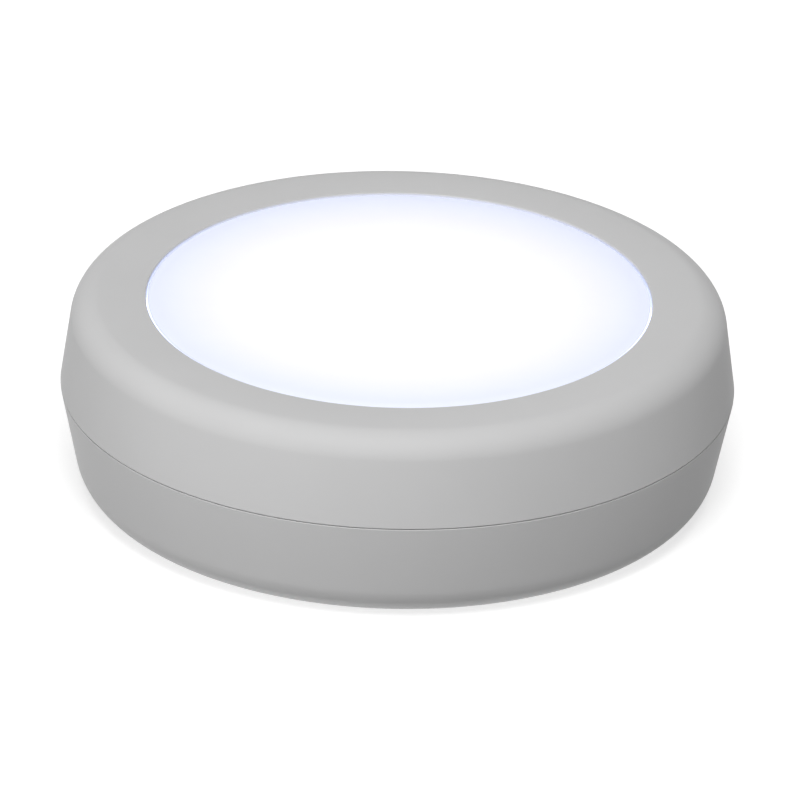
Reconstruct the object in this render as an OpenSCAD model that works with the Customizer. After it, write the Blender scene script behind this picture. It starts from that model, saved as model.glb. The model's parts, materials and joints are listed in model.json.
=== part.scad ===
// LED puck light: two drafted satin shells that twist together, a sprung diffuser that is
// tapped to work the switch, a board of six lamps under it and a tray of three small cells.
// Z is up, the underside lies at z = 0 and the axis of the case is the Z axis.
// The lower shell stays put. Everything that the upper shell carries turns with it.

/* [Case] */
// Widest diameter, where the two shells meet
case_d = 84; // [84:0.5:100]
// Height of the lower shell
base_h = 13.8; // [13.6:0.1:16]
// Height of the upper shell above the lower one
upper_h = 11.6; // [11.4:0.1:15]
// Wall and floor of the lower shell
base_wall = 1.8; // [1.5:0.1:2]
// Wall and top plate of the upper shell
upper_wall = 1.8; // [1.5:0.1:2]
// Slope of the lower shell's side, in degrees from upright
base_draft = 12; // [10:0.5:13]
// Slope of the upper shell's side, in degrees from upright
upper_draft = 7.5; // [6:0.5:9]
// Radius that turns the side into the underside
base_round = 5.4; // [4.4:0.2:6.4]
// Radius that turns the side into the top
shoulder_round = 3.6; // [3:0.2:4]
// Width of the bevel on the rim of each shell
groove = 0.1; // [0.05:0.05:0.3]
// Height of the shadow gap between the two rims
seam_gap = 0.15; // [0.1:0.05:0.25]
// Depth of the shadow gap
seam_depth = 0.6; // [0.5:0.1:0.9]

/* [Lens] */
// Width of the top ring, from the widest edge of the case in to the opening
ring_w = 10.5; // [9:0.5:13]
// Radius on the edge of the opening
opening_round = 0.2; // [0.1:0.05:0.4]
// Gap all round between the lens and the opening
lens_gap = 0.2; // [0.15:0.05:0.4]
// Thickness of the lens and of its rim
lens_t = 1.5; // [1.2:0.1:1.7]
// Rise of the lens from its edge to its middle
lens_crown = 0.1; // [0.05:0.05:0.5]
// Radius on the top edge of the lens
lens_edge = 0.2; // [0.1:0.1:0.8]
// Width of the flange that catches under the top plate
flange_w = 2; // [1.6:0.1:2.4]
// Thickness of the flange and its ears
flange_t = 1.2; // [1:0.1:1.4]
// Distance that the lens can be pressed down
press_travel = 0.8; // [0.5:0.1:1]
// Radius of the boss that meets the switch
lens_boss_r = 2.2; // [2:0.1:2.6]

/* [Lens springs] */
// Wire thickness of a lens spring
spring_wire = 0.4; // [0.3:0.05:0.45]
// Radius of a lens spring, to the middle of its wire
spring_r = 1.3; // [1.25:0.05:1.4]
// Turns of a lens spring
spring_turns = 5; // [4:0.5:6]
// Gap left between a spring's two pins when the lens is pressed down
spring_pin_gap = 1; // [0.6:0.1:1.4]
// Height of the posts that the lens springs stand on
spring_post_h = 2.6; // [2.2:0.1:3]

/* [Twist lock] */
// How far the upper shell turns from locked to free, in degrees
twist = 25; // [15:1:40]
// Width of each lug on the lower shell, in degrees
lug_angle = 20; // [14:1:26]
// Thickness of each lug
lug_t = 1.4; // [1.2:0.1:1.8]
// Depth of a lug's top below the joint between the shells
lug_drop = 3.2; // [2.8:0.1:3.6]
// Thickness of the skirt that hangs inside the lower shell
skirt_t = 1.4; // [1.2:0.1:1.5]
// Depth of the skirt below the joint between the shells
skirt_h = 6.8; // [6.4:0.1:7.4]
// Gap between the skirt and the lower shell
skirt_gap = 0.3; // [0.25:0.05:0.4]

/* [Wall fixing] */
// Distance between the two screw holes in the underside
hole_spacing = 54; // [50:1:58]
// Diameter of the screw holes in the underside
hole_d = 3.8; // [3.4:0.1:4.2]
// Diameter of the countersinks inside
sink_d = 7.2; // [6.6:0.1:7.6]
// Height of the bosses round the screw holes, above the floor
hole_boss_h = 0.9; // [0.6:0.1:1.2]
// Diameter of the recess for a sticky pad
pad_d = 40; // [30:1:44]
// Depth of the recess for a sticky pad
pad_depth = 0.4; // [0.2:0.1:0.8]

/* [Cells and tray] */
// Diameter of a cell
cell_d = 10.5; // [10:0.1:11]
// Length of a cell with its button
cell_l = 44.5; // [44:0.1:46]
// Gap between two cells
cell_gap = 1; // [0.9:0.1:1.6]
// Thickness of the contact strips
contact_t = 0.4; // [0.3:0.05:0.6]
// Width and height of a contact pad
contact_w = 9; // [8:0.1:9.4]
// Squeezed length of a cell spring
cell_spring_l = 3.8; // [3.4:0.1:5]
// Wire thickness of a cell spring
cell_spring_wire = 0.5; // [0.4:0.05:0.6]
// Turns of a cell spring
cell_spring_turns = 3.5; // [3:0.5:4]
// Radius of a cell spring at the contact strip, to the middle of its wire
cell_spring_r = 3.4; // [3:0.1:3.6]
// Radius of a cell spring at the cell
cell_spring_tip_r = 2.2; // [1.8:0.1:2.6]
// Thickness of the tray's walls
tray_wall = 1.2; // [1:0.1:1.6]
// Radius of the finger notches in the tray's long sides
notch_r = 5; // [4:0.1:5.6]
// Thickness of the tray's deck
deck_t = 1.4; // [1.2:0.1:1.8]
// Radius of the bosses that the tray is screwed to
boss_r = 2; // [1.9:0.1:2.1]
// How far the tray's screws reach into their bosses
tray_screw_grip = 5; // [4:0.2:6]
// How far the contacts' tabs stand out of the deck
tab_rise = 1.4; // [1.2:0.1:1.5]

/* [Board] */
// Thickness of the lamp board
board_t = 1; // [0.8:0.1:1.6]
// Height of the posts that the board stands on
board_post_h = 1.6; // [1.4:0.1:2.2]
// How far the reflector flares out, from the edge of the board to its top
flare = 4.9; // [3.5:0.1:5.5]
// Distance of the board's screws from its edge
board_screw_in = 3; // [2.8:0.1:3.5]
// Distance of the middle of the lamps from the board's edge
led_in = 7.5; // [7:0.1:9]
// Distance of the middle of the resistors from the side of the switch
resistor_out = 6.5; // [5:0.1:7]
// Width of the switch
switch_w = 6; // [5.8:0.1:7]
// Height of the switch body
switch_h = 3.2; // [3:0.1:3.6]
// Radius of the switch's stem
stem_r = 1.6; // [1.4:0.1:1.7]
// Thickness of the reflector
reflector_t = 0.8; // [0.6:0.1:1]
// Diameter of the two wires
wire_d = 0.9; // [0.7:0.1:1]
// How far a wire runs from its tab towards the middle
wire_run = 5.4; // [4.6:0.2:7]

/* [Hidden] */
$fn = 96;

// How far a joined form reaches into its neighbour, and how far a cut runs past a face
bite = 0.5;
// Running gap beside a moving piece
clear = 0.3;
// Slack of a screw in its pilot hole, and in a hole that it passes through
pilot_slack = 0.05;
pass_slack = 0.3;

// Case
case_r = case_d / 2;
top_z = base_h + upper_h;
plate_z = top_z - upper_wall;
shoulder_r = case_r - (upper_h - shoulder_round) * tan(upper_draft)
    - shoulder_round / cos(upper_draft);
heel_r = case_r - (base_h - base_round) * tan(base_draft) - base_round / cos(base_draft);
join_h = 1.2;

// Tray and cells, from the floor up
cell_floor_gap = 0.5;
cell_deck_gap = 0.2;
cell_side_gap = 0.3;
cell_z = base_wall + cell_floor_gap + cell_d / 2;
cell_pitch = cell_d + cell_gap;
button_h = 0.4;
cell_button_h = 1;
cell_button_r = 1.9;
cell_edge = 0.6;
button_flare = 0.5;
bay_l = cell_l + cell_spring_l + 2 * contact_t + button_h;
bay_w = 2 * cell_pitch + cell_d + 2 * cell_side_gap;
bay_z = base_wall + hole_boss_h + clear;
deck_z = cell_z + cell_d / 2 + cell_deck_gap;
deck_top = deck_z + deck_t;
rail_t = 0.8;
rail_overlap = 0.4;
saddle_t = 2;
saddle_rise = 1;
saddle_places = [-14, 0, 14];
tab_w = 2.4;
tab_slack = 0.2;
tab_top = deck_top + tab_rise;

// Screws: shank radius, head radius and head height
tray_screw = [0.95, 2, 1.4];
board_screw = [0.75, 1.8, 1.2];
// Solid left above the tray's screws and below the board's
pilot_roof = 1;
pilot_floor = 0.4;
rib_t = 1;

// Places round the axis, in degrees
boss_angles = [90, 210, 330];
spring_angles = [30, 150, 270];
lug_angles = [30, 150, 270];
board_screw_angles = [30, 150, 270];

// Rings of bosses and posts
boss_ring_r = min(
    shoulder_r - boss_r + clear,
    skirt_in_r(deck_z - tray_screw[2]) - tray_screw[1] - clear
);
ear_margin = 1;
ear_wall_gap = 0.1;
ear_r = spring_r + ear_margin;
spring_ring_r = shoulder_r - ear_r - ear_wall_gap;
post_margin = 0.8;
spring_post_r = spring_r + post_margin;
pin_slack = 0.25;
spring_pin_r = spring_r - spring_wire / 2 - pin_slack;
spring_z = deck_top + spring_post_h;
spring_pin_h = (plate_z - flange_t - spring_z - press_travel - spring_pin_gap) / 2;
tray_r = skirt_in_r(min(deck_z, base_h)) - clear;

// Lens
opening_r = case_r - ring_w;
lens_r = opening_r - lens_gap;
rim_in_r = lens_r - lens_t;
flange_r = opening_r + flange_w;
flange_z = plate_z - flange_t;
boss_notch_gap = 0.4;
guide_gap = 0.6;

// Board, switch and reflector
board_z = deck_top + board_post_h;
board_top = board_z + board_t;
reflector_rim_gap = 0.35;
reflector_top_r = rim_in_r - reflector_rim_gap;
reflector_top_z = flange_z - press_travel - clear;
board_r = reflector_top_r - flare;
board_margin = 0.1;
reflector_foot_r = board_r - board_margin;
reflector_foot_w = 1.4;
board_screw_r = board_r - board_screw_in;
board_post_r = 2.2;
led_size = [3.5, 2.8, 0.8];
led_well = [1.1, 0.15];
led_ring_r = board_r - led_in;
led_step = 60;
resistor_size = [3.2, 1.6, 0.6];
resistor_step = 120;
resistor_ring_r = switch_w / 2 + resistor_out;
cover_t = 0.3;
cover_z = board_top + switch_h;
stem_reserve = 0.1;
stem_top = cover_z + cover_t + press_travel + stem_reserve;
collar_w = 0.6;
collar_r = stem_r + collar_w;
collar_t = 0.8;
well_floor_gap = 0.4;
well_z = cover_z - collar_t - press_travel - well_floor_gap;
wire_gap = 0.05;

// Screw holes in the floor
hole_places = [-hole_spacing / 2, hole_spacing / 2];

// Twist lock
lug_z = base_h - lug_drop - lug_t;
slot_gap = 0.2;
slot_slack = 0.5;
lug_reach = 0.2;
skirt_z = base_h - skirt_h;

// Inside radius of the lower shell, and of the skirt in it, at height z
function base_in_r(z) = case_r - base_wall / cos(base_draft) - (base_h - z) * tan(base_draft);
function skirt_in_r(z) = base_in_r(z) - skirt_gap - skirt_t;
// Inside radius of the upper shell's side at height z
function upper_in_r(z) = case_r - upper_wall / cos(upper_draft) - (z - base_h) * tan(upper_draft);

// Points of an arc about c, from angle a to angle b
function arc(c, r, a, b, steps = 8) =
    [for (i = [0:steps]) let (t = a + (b - a) * i / steps) c + r * [cos(t), sin(t)]];
// Points of a shallow dome that falls by drop from the axis, at height z, to radius r
function dome(r, z, drop, steps = 6) =
    [for (i = [0:steps]) let (x = r * i / steps) [x, z - drop * pow(x / r, 2)]];
function reversed(list) = [for (i = [len(list) - 1:-1:0]) list[i]];

function unit(v) = v / norm(v);
function bezier(p, t) = pow(1 - t, 3) * p[0] + 3 * pow(1 - t, 2) * t * p[1]
    + 3 * (1 - t) * t * t * p[2] + pow(t, 3) * p[3];

// Middle line of a coil that stands on z = 0, with half a flat turn at each end
function coil_rise(s, turns) = min(1, max(0, (s - 0.5) / (turns - 1)));
function coil(r0, r1, length, turns, wire, steps = 12) =
    [for (i = [0:turns * steps])
        let (s = i / steps, rise = coil_rise(s, turns), r = r0 + (r1 - r0) * rise)
        [r * cos(360 * s), r * sin(360 * s), wire / 2 + (length - wire) * rise]];

// Round bar swept along a path that never runs straight up
module sweep(path, r, sides) {
    last = len(path) - 1;
    rings = [for (i = [0:last])
        let (
            along = unit(path[min(i + 1, last)] - path[max(i - 1, 0)]),
            side = unit(cross(along, [0, 0, 1])),
            up = cross(side, along)
        )
        for (k = [0:sides - 1])
            let (a = 360 * k / sides)
            path[i] + r * (cos(a) * side + sin(a) * up)];
    skin = [for (i = [0:last - 1]) for (k = [0:sides - 1])
        let (n = (k + 1) % sides)
        [i * sides + k, (i + 1) * sides + k, (i + 1) * sides + n, i * sides + n]];
    polyhedron(
        points = rings,
        faces = concat(
            skin,
            [[for (k = [0:sides - 1]) k]],
            [[for (k = [sides - 1:-1:0]) last * sides + k]]
        ),
        convexity = 10
    );
}

// Ring or stretch of ring of a square section, from angle a over sweep_angle degrees
module ring_part(r_in, r_out, z_low, z_high, a, sweep_angle) {
    rotate_extrude(angle = sweep_angle, start = a)
        translate([r_in, z_low]) square([r_out - r_in, z_high - z_low]);
}

// Copies of the child at radius r and the given angles, turned to face outwards
module around(angles, r) {
    for (a = angles) rotate(a) translate([r, 0, 0]) children();
}

// Upright rib in the radial plane, offset sideways, from an outline of [radius, height]
module radial_rib(outline, thickness, offset = 0) {
    translate([0, offset + thickness / 2, 0]) rotate([90, 0, 0])
        linear_extrude(thickness) polygon(outline);
}

// Screw with its head's seat at z = 0, its shank pointing up and a cross socket in its head
module screw(size, length) {
    crown = size[2] / 2;
    tip = size[0];
    difference() {
        union() {
            translate([0, 0, -size[2]]) cylinder(r1 = size[1] - crown / 2, r2 = size[1], h = crown);
            translate([0, 0, -crown]) cylinder(r = size[1], h = crown);
        }
        for (a = [0, 90]) rotate(a) translate([-size[1] / 2, -size[1] / 8, -size[2] - bite])
            cube([size[1], size[1] / 4, crown + bite]);
    }
    cylinder(r = size[0], h = length - tip);
    translate([0, 0, length - tip]) cylinder(r1 = size[0], r2 = size[0] / 3, h = tip);
}

module base_shell() {
    heel = [heel_r, base_round];
    color("#b4b4b6") {
        difference() {
            union() {
                rotate_extrude() polygon(concat(
                    [[0, 0]],
                    arc(heel, base_round, -90, -base_draft),
                    [
                        [case_r - (seam_gap + groove) * tan(base_draft), base_h - seam_gap - groove],
                        [case_r - seam_gap * tan(base_draft) - groove, base_h - seam_gap],
                        [case_r - seam_depth, base_h - seam_gap],
                        [case_r - seam_depth, base_h],
                        [base_in_r(base_h), base_h]
                    ],
                    arc(heel, base_round - base_wall, -base_draft, -90),
                    [[0, base_wall]]
                ));
                for (x = hole_places) translate([x, 0, base_wall / 2])
                    cylinder(d = sink_d + 2 * rib_t, h = base_wall / 2 + hole_boss_h);
            }
            translate([0, 0, -bite]) cylinder(d = pad_d, h = pad_depth + bite);
            for (x = hole_places) translate([x, 0, 0]) wall_screw_hole();
        }
        for (a = lug_angles) lug(a);
    }
}

// Hole for a screw that goes down through the floor, with a right-angled countersink
module wall_screw_hole() {
    boss_top = base_wall + hole_boss_h;
    sink_h = (sink_d - hole_d) / 2;
    translate([0, 0, -bite]) cylinder(d = hole_d, h = boss_top + 2 * bite);
    translate([0, 0, boss_top - sink_h])
        cylinder(d1 = hole_d, d2 = sink_d + 2 * bite, h = sink_h + bite);
}

// Lug of the twist lock, with its lower inner edge bevelled
module lug(a) {
    in_r = skirt_in_r(lug_z) - lug_reach;
    bevel = lug_t / 3;
    rotate_extrude(angle = lug_angle, start = a - lug_angle / 2) polygon([
        [in_r + bevel, lug_z],
        [base_in_r(lug_z) + bite, lug_z],
        [base_in_r(lug_z + lug_t) + bite, lug_z + lug_t],
        [in_r, lug_z + lug_t],
        [in_r, lug_z + bevel]
    ]);
}

module bezel_shell() {
    shoulder = [shoulder_r, top_z - shoulder_round];
    skirt_out_r = base_in_r(base_h) - skirt_gap;
    color("#c8c8ca") {
        difference() {
            rotate_extrude() polygon(concat(
                [
                    [case_r - groove, base_h],
                    [case_r - groove * tan(upper_draft), base_h + groove]
                ],
                arc(shoulder, shoulder_round, upper_draft, 90),
                arc([opening_r + opening_round, top_z - opening_round], opening_round, 90, 180, 4),
                [[opening_r, plate_z]],
                arc(shoulder, shoulder_round - upper_wall, 90, upper_draft),
                [
                    [upper_in_r(base_h + join_h), base_h + join_h],
                    [skirt_in_r(base_h), base_h + join_h],
                    [skirt_in_r(base_h), base_h],
                    [skirt_in_r(skirt_z), skirt_z],
                    [skirt_in_r(skirt_z) + skirt_t, skirt_z],
                    [skirt_out_r, base_h]
                ]
            ));
            for (a = lug_angles) twist_slot(a);
        }
        around(boss_angles, 0) tray_boss();
        around(spring_angles, 0) for (side = [-1, 1]) ear_guide(side);
    }
}

// Slot in the skirt: a level run that the lug turns along, and the way in from below
module twist_slot(a) {
    r_low = skirt_in_r(skirt_z) - bite;
    r_high = base_in_r(base_h) + bite;
    half = lug_angle / 2 + slot_slack;
    ring_part(r_low, r_high, lug_z - slot_gap, lug_z + lug_t + slot_gap,
        a - twist - half, twist + 2 * half);
    ring_part(r_low, r_high, skirt_z - bite, lug_z + lug_t, a - twist - half, 2 * half);
}

// Boss for one of the tray's screws, with the rib that ties it to the side
module tray_boss() {
    rib_z = deck_top + tray_screw_grip / 2;
    difference() {
        union() {
            translate([boss_ring_r, 0, deck_top]) cylinder(r = boss_r, h = plate_z + bite - deck_top);
            radial_rib([
                [boss_ring_r, rib_z],
                [upper_in_r(rib_z) + bite, rib_z],
                [upper_in_r(plate_z) + bite, plate_z + bite],
                [boss_ring_r, plate_z + bite]
            ], rib_t);
        }
        translate([boss_ring_r, 0, deck_top - bite])
            cylinder(r = tray_screw[0] + pilot_slack, h = plate_z - pilot_roof - deck_top + bite);
    }
}

// Rib beside a lens ear, which keeps the lens from turning
module ear_guide(side) {
    low_z = flange_z - press_travel - guide_gap;
    in_r = flange_r + guide_gap;
    radial_rib([
        [in_r, low_z],
        [upper_in_r(low_z) + bite, low_z],
        [upper_in_r(plate_z) + bite, plate_z + bite],
        [in_r, plate_z + bite]
    ], rib_t, side * (ear_r + clear + rib_t / 2));
}

module diffuser_lens() {
    edge_z = top_z - lens_crown;
    color("#f4f8ff") {
        difference() {
            rotate_extrude() polygon(concat(
                dome(lens_r - lens_edge, top_z, lens_crown),
                arc([lens_r - lens_edge, edge_z - lens_edge], lens_edge, 90, 0, 4),
                [
                    [lens_r, plate_z],
                    [flange_r, plate_z],
                    [flange_r, flange_z],
                    [rim_in_r, flange_z]
                ],
                reversed(dome(rim_in_r, top_z - lens_t, lens_crown))
            ));
            around(boss_angles, boss_ring_r) translate([0, 0, flange_z - bite])
                cylinder(r = boss_r + boss_notch_gap, h = flange_t + 2 * bite);
        }
        translate([0, 0, stem_top]) cylinder(r = lens_boss_r, h = top_z - lens_t - stem_top + bite);
        around(spring_angles, spring_ring_r) lens_ear();
    }
}

// Ear on the lens flange, with the peg that its spring sits round
module lens_ear() {
    web = spring_ring_r - lens_r + lens_gap;
    translate([0, 0, flange_z]) {
        cylinder(r = ear_r, h = flange_t);
        translate([-web, -ear_r, 0]) cube([web, 2 * ear_r, flange_t]);
    }
    translate([0, 0, flange_z - spring_pin_h]) cylinder(r = spring_pin_r, h = spring_pin_h + bite);
}

module lens_spring(i) {
    color("#9fa3a8")
        rotate(spring_angles[i]) translate([spring_ring_r, 0, spring_z])
            sweep(coil(spring_r, spring_r, flange_z - spring_z, spring_turns, spring_wire),
                spring_wire / 2, 6);
}

module battery_tray() {
    bay_end = bay_l / 2;
    bay_side = bay_w / 2;
    color("#e4e4e2") difference() {
        union() {
            translate([0, 0, deck_z]) cylinder(r = tray_r, h = deck_t);
            tray_walls(bay_side, bay_end);
            for (y = saddle_places) cell_saddle(y);
            for (end = [-1, 1]) contact_rails(end, bay_side, bay_end);
            around(board_screw_angles, board_screw_r) translate([0, 0, deck_top - bite])
                cylinder(r = board_post_r, h = board_post_h + bite);
            around(spring_angles, spring_ring_r) translate([0, 0, deck_top - bite]) {
                cylinder(r = spring_post_r, h = spring_post_h + bite);
                cylinder(r = spring_pin_r, h = spring_post_h + spring_pin_h + bite);
            }
        }
        around(boss_angles, boss_ring_r) translate([0, 0, deck_z - bite])
            cylinder(r = tray_screw[0] + pass_slack, h = deck_t + 2 * bite);
        around(board_screw_angles, board_screw_r) translate([0, 0, deck_z + pilot_floor])
            cylinder(r = board_screw[0] + pilot_slack, h = deck_t + board_post_h);
        for (end = [-1, 1]) tab_slot(end);
    }
}

// Walls round the cells, kept inside the shells where the case is small
module tray_walls(bay_side, bay_end) {
    intersection() {
        translate([0, 0, bay_z]) difference() {
            translate([-bay_side - tray_wall, -bay_end - tray_wall, 0])
                cube([bay_w + 2 * tray_wall, bay_l + 2 * tray_wall, deck_z - bay_z + bite]);
            translate([-bay_side, -bay_end, -bite]) cube([bay_w, bay_l, deck_z - bay_z + 3 * bite]);
            rotate([0, 90, 0])
                cylinder(r = notch_r, h = bay_w + 2 * tray_wall + 2 * bite, center = true);
        }
        rotate_extrude() polygon([
            [0, 0],
            [heel_r, 0],
            [skirt_in_r(base_round) - clear, base_round],
            [tray_r, deck_z],
            [tray_r, deck_top],
            [0, deck_top]
        ]);
    }
}

// Cross rib with three hollows, in which the cells lie
module cell_saddle(y) {
    low_z = cell_z + saddle_rise;
    difference() {
        translate([-bay_w / 2 - bite, y - saddle_t / 2, low_z])
            cube([bay_w + 2 * bite, saddle_t, deck_z - low_z + bite]);
        for (x = [-1, 0, 1] * cell_pitch) translate([x, y + saddle_t, cell_z])
            rotate([90, 0, 0]) cylinder(d = cell_d + 2 * cell_side_gap, h = 2 * saddle_t);
    }
}

// Upright rails that hold the contacts against one end wall
module contact_rails(end, bay_side, bay_end) {
    rail_h = deck_z - bay_z + bite;
    edge = cell_pitch + contact_w / 2 - rail_overlap;
    between = cell_pitch - contact_w + 2 * rail_overlap;
    rotate(end > 0 ? 0 : 180) translate([0, bay_end - contact_t - rail_t, bay_z]) {
        for (x = [-bay_side - bite, edge])
            translate([x, 0, 0]) cube([bay_side - edge + bite, rail_t, rail_h]);
        translate([-cell_pitch / 2 - between / 2, 0, 0]) cube([between, rail_t, rail_h]);
    }
}

// Hole in the deck for a contact's tab
module tab_slot(end) {
    corner = [-cell_pitch - tab_w / 2 - tab_slack, bay_l / 2 - contact_t - tab_slack, deck_z - bite];
    rotate(end > 0 ? 0 : 180) translate(corner)
        cube([tab_w + 2 * tab_slack, contact_t + 2 * tab_slack, deck_t + 2 * bite]);
}

module tray_screws() {
    color("#a9acb0") around(boss_angles, boss_ring_r) translate([0, 0, deck_z])
        screw(tray_screw, deck_t + tray_screw_grip);
}

module reflector() {
    foot_in = reflector_foot_r - reflector_foot_w;
    color("#fafafa") difference() {
        union() {
            rotate_extrude() polygon([
                [foot_in, board_top],
                [reflector_foot_r, board_top],
                [reflector_top_r, reflector_top_z],
                [reflector_top_r - reflector_t, reflector_top_z],
                [reflector_foot_r - reflector_t / 2, board_top + reflector_t],
                [foot_in, board_top + reflector_t]
            ]);
            around(board_screw_angles, board_screw_r) translate([0, 0, board_top])
                cylinder(r = board_post_r, h = reflector_t);
        }
        around(board_screw_angles, board_screw_r) translate([0, 0, board_top - bite])
            cylinder(r = board_screw[0] + pass_slack, h = reflector_t + 2 * bite);
    }
}

module led_board() {
    color("#f2f3f0") difference() {
        translate([0, 0, board_z]) cylinder(r = board_r, h = board_t);
        around(board_screw_angles, board_screw_r) translate([0, 0, board_z - bite])
            cylinder(r = board_screw[0] + pass_slack, h = board_t + 2 * bite);
    }
}

module board_screws() {
    color("#a9acb0") around(board_screw_angles, board_screw_r)
        translate([0, 0, board_top + reflector_t]) mirror([0, 0, 1])
            screw(board_screw, reflector_t + board_t + board_post_h + deck_t / 2);
}

// Lamp with a shallow round well for its yellow filling
module led(i) {
    color("#ffe98a") rotate(i * led_step) translate([led_ring_r, 0, board_top]) difference() {
        translate([-led_size[1] / 2, -led_size[0] / 2, 0])
            cube([led_size[1], led_size[0], led_size[2]]);
        translate([0, 0, led_size[2] - led_well[1]]) cylinder(r = led_well[0], h = bite);
    }
}

module resistor(i) {
    color("#2a2a2c") rotate(led_step / 2 + resistor_step * i)
        translate([resistor_ring_r - resistor_size[1] / 2, -resistor_size[0] / 2, board_top])
            cube([resistor_size[1], resistor_size[0], resistor_size[2]]);
}

module switch_body() {
    color("#1f2022") difference() {
        translate([-switch_w / 2, -switch_w / 2, board_top]) cube([switch_w, switch_w, switch_h]);
        translate([0, 0, well_z]) cylinder(r = collar_r + clear, h = cover_z - well_z + bite);
    }
}

module switch_cover() {
    color("#b9bcc0") difference() {
        translate([-switch_w / 2, -switch_w / 2, cover_z]) cube([switch_w, switch_w, cover_t]);
        translate([0, 0, cover_z - bite]) cylinder(r = stem_r + clear, h = cover_t + 2 * bite);
    }
}

module switch_plunger() {
    color("#e8e8e6") {
        translate([0, 0, cover_z - collar_t]) cylinder(r = collar_r, h = collar_t);
        translate([0, 0, cover_z - collar_t / 2])
            cylinder(r = stem_r, h = stem_top - cover_z + collar_t / 2);
    }
}

// Which way a cell's button points along Y: the outer two agree and the middle one is turned
function cell_way(i) = i == 1 ? -1 : 1;

module battery(i) {
    plus_y = bay_l / 2 - contact_t - button_h;
    edge_r = cell_d / 2 - cell_edge;
    color("#3c6e47") translate([(i - 1) * cell_pitch, 0, cell_z])
        rotate([0, 0, cell_way(i) > 0 ? 0 : 180]) translate([0, plus_y, 0]) rotate([90, 0, 0])
            rotate_extrude() polygon(concat(
                [[0, 0], [cell_button_r, 0], [cell_button_r, cell_button_h]],
                arc([edge_r, cell_button_h + cell_edge], cell_edge, -90, 0, 4),
                arc([edge_r, cell_l - cell_edge], cell_edge, 0, 90, 4),
                [[0, cell_l]]
            ));
}

// Contact strip against the end wall: pads at the given cells, a button where a cell's plus
// end meets it, and a tab up through the deck where one is asked for
module contact(end, first, last, tab) {
    pad_y = bay_l / 2 - contact_t;
    low_y = end > 0 ? pad_y : -pad_y - contact_t;
    first_x = (first - 1) * cell_pitch;
    color("#d6cfae") {
        translate([first_x - contact_w / 2, low_y, cell_z - contact_w / 2])
            cube([(last - first) * cell_pitch + contact_w, contact_t, contact_w]);
        for (i = [first:last]) if (cell_way(i) == end)
            translate([(i - 1) * cell_pitch, end * (pad_y + contact_t / 2), cell_z])
                rotate([end * 90, 0, 0]) cylinder(
                    r1 = cell_button_r + button_flare,
                    r2 = cell_button_r,
                    h = button_h + contact_t / 2
                );
        if (tab)
            translate([first_x - tab_w / 2, low_y, cell_z]) cube([tab_w, contact_t, tab_top - cell_z]);
    }
}

// Cone of wire from the contact strip to the flat end of cell i
module battery_spring(i) {
    seat_y = bay_l / 2 - contact_t;
    color("#c9ccd0") translate([(i - 1) * cell_pitch, -cell_way(i) * seat_y, cell_z])
        rotate([cell_way(i) * -90, 0, 0])
            sweep(
                coil(cell_spring_r, cell_spring_tip_r, cell_spring_l, cell_spring_turns,
                    cell_spring_wire),
                cell_spring_wire / 2, 6
            );
}

// Wire from a contact's tab to its pad under the board
module wire(end) {
    steps = 14;
    tab = [-cell_pitch, bay_l / 2 - contact_t, 0];
    pad = unit(tab) * min(norm(tab) - wire_run, board_screw_r);
    start = tab + [0, 0, tab_top - wire_d / 2 - 2 * wire_gap];
    finish = pad + [0, 0, board_z - wire_d / 2 - wire_gap];
    reach = norm(pad - tab) / 3;
    handles = [start, start - [0, reach, 0], finish + reach * unit(pad), finish];
    rotate(end > 0 ? 0 : 180)
        sweep([for (i = [0:steps]) bezier(handles, i / steps)], wire_d / 2, 8);
}

base_shell();
bezel_shell();
diffuser_lens();
lens_spring(0);  // lens_spring_1
lens_spring(1);  // lens_spring_2
lens_spring(2);  // lens_spring_3
battery_tray();
tray_screws();
reflector();
led_board();
board_screws();
led(0);  // led_1
led(1);  // led_2
led(2);  // led_3
led(3);  // led_4
led(4);  // led_5
led(5);  // led_6
resistor(0);  // resistor_1
resistor(1);  // resistor_2
resistor(2);  // resistor_3
switch_body();
switch_cover();
switch_plunger();
battery(0);  // battery_1
battery(1);  // battery_2
battery(2);  // battery_3
contact(1, 0, 0, true);  // contact_positive
contact(-1, 2, 2, true);  // contact_negative
contact(-1, 0, 1, false);  // contact_jumper_a
contact(1, 1, 2, false);  // contact_jumper_b
battery_spring(0);  // battery_spring_1
battery_spring(1);  // battery_spring_2
battery_spring(2);  // battery_spring_3
color("#c42020") wire(1);  // wire_red
color("#202020") wire(-1);  // wire_black
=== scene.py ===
"""LED puck light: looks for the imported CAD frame.

Sizes are in millimetres and degrees, as in the part's source, and every mesh is scaled to
metres when it becomes a piece. Z is up and the axis of the case is the Z axis. The lower
shell stays put, and everything that the upper shell carries turns with it.
"""

import json
import logging
import math
from collections.abc import Iterable, Sequence
from dataclasses import dataclass, field
from enum import Enum, IntEnum
from typing import ClassVar

import bmesh
import bpy
from mathutils import Matrix, Vector

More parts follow.
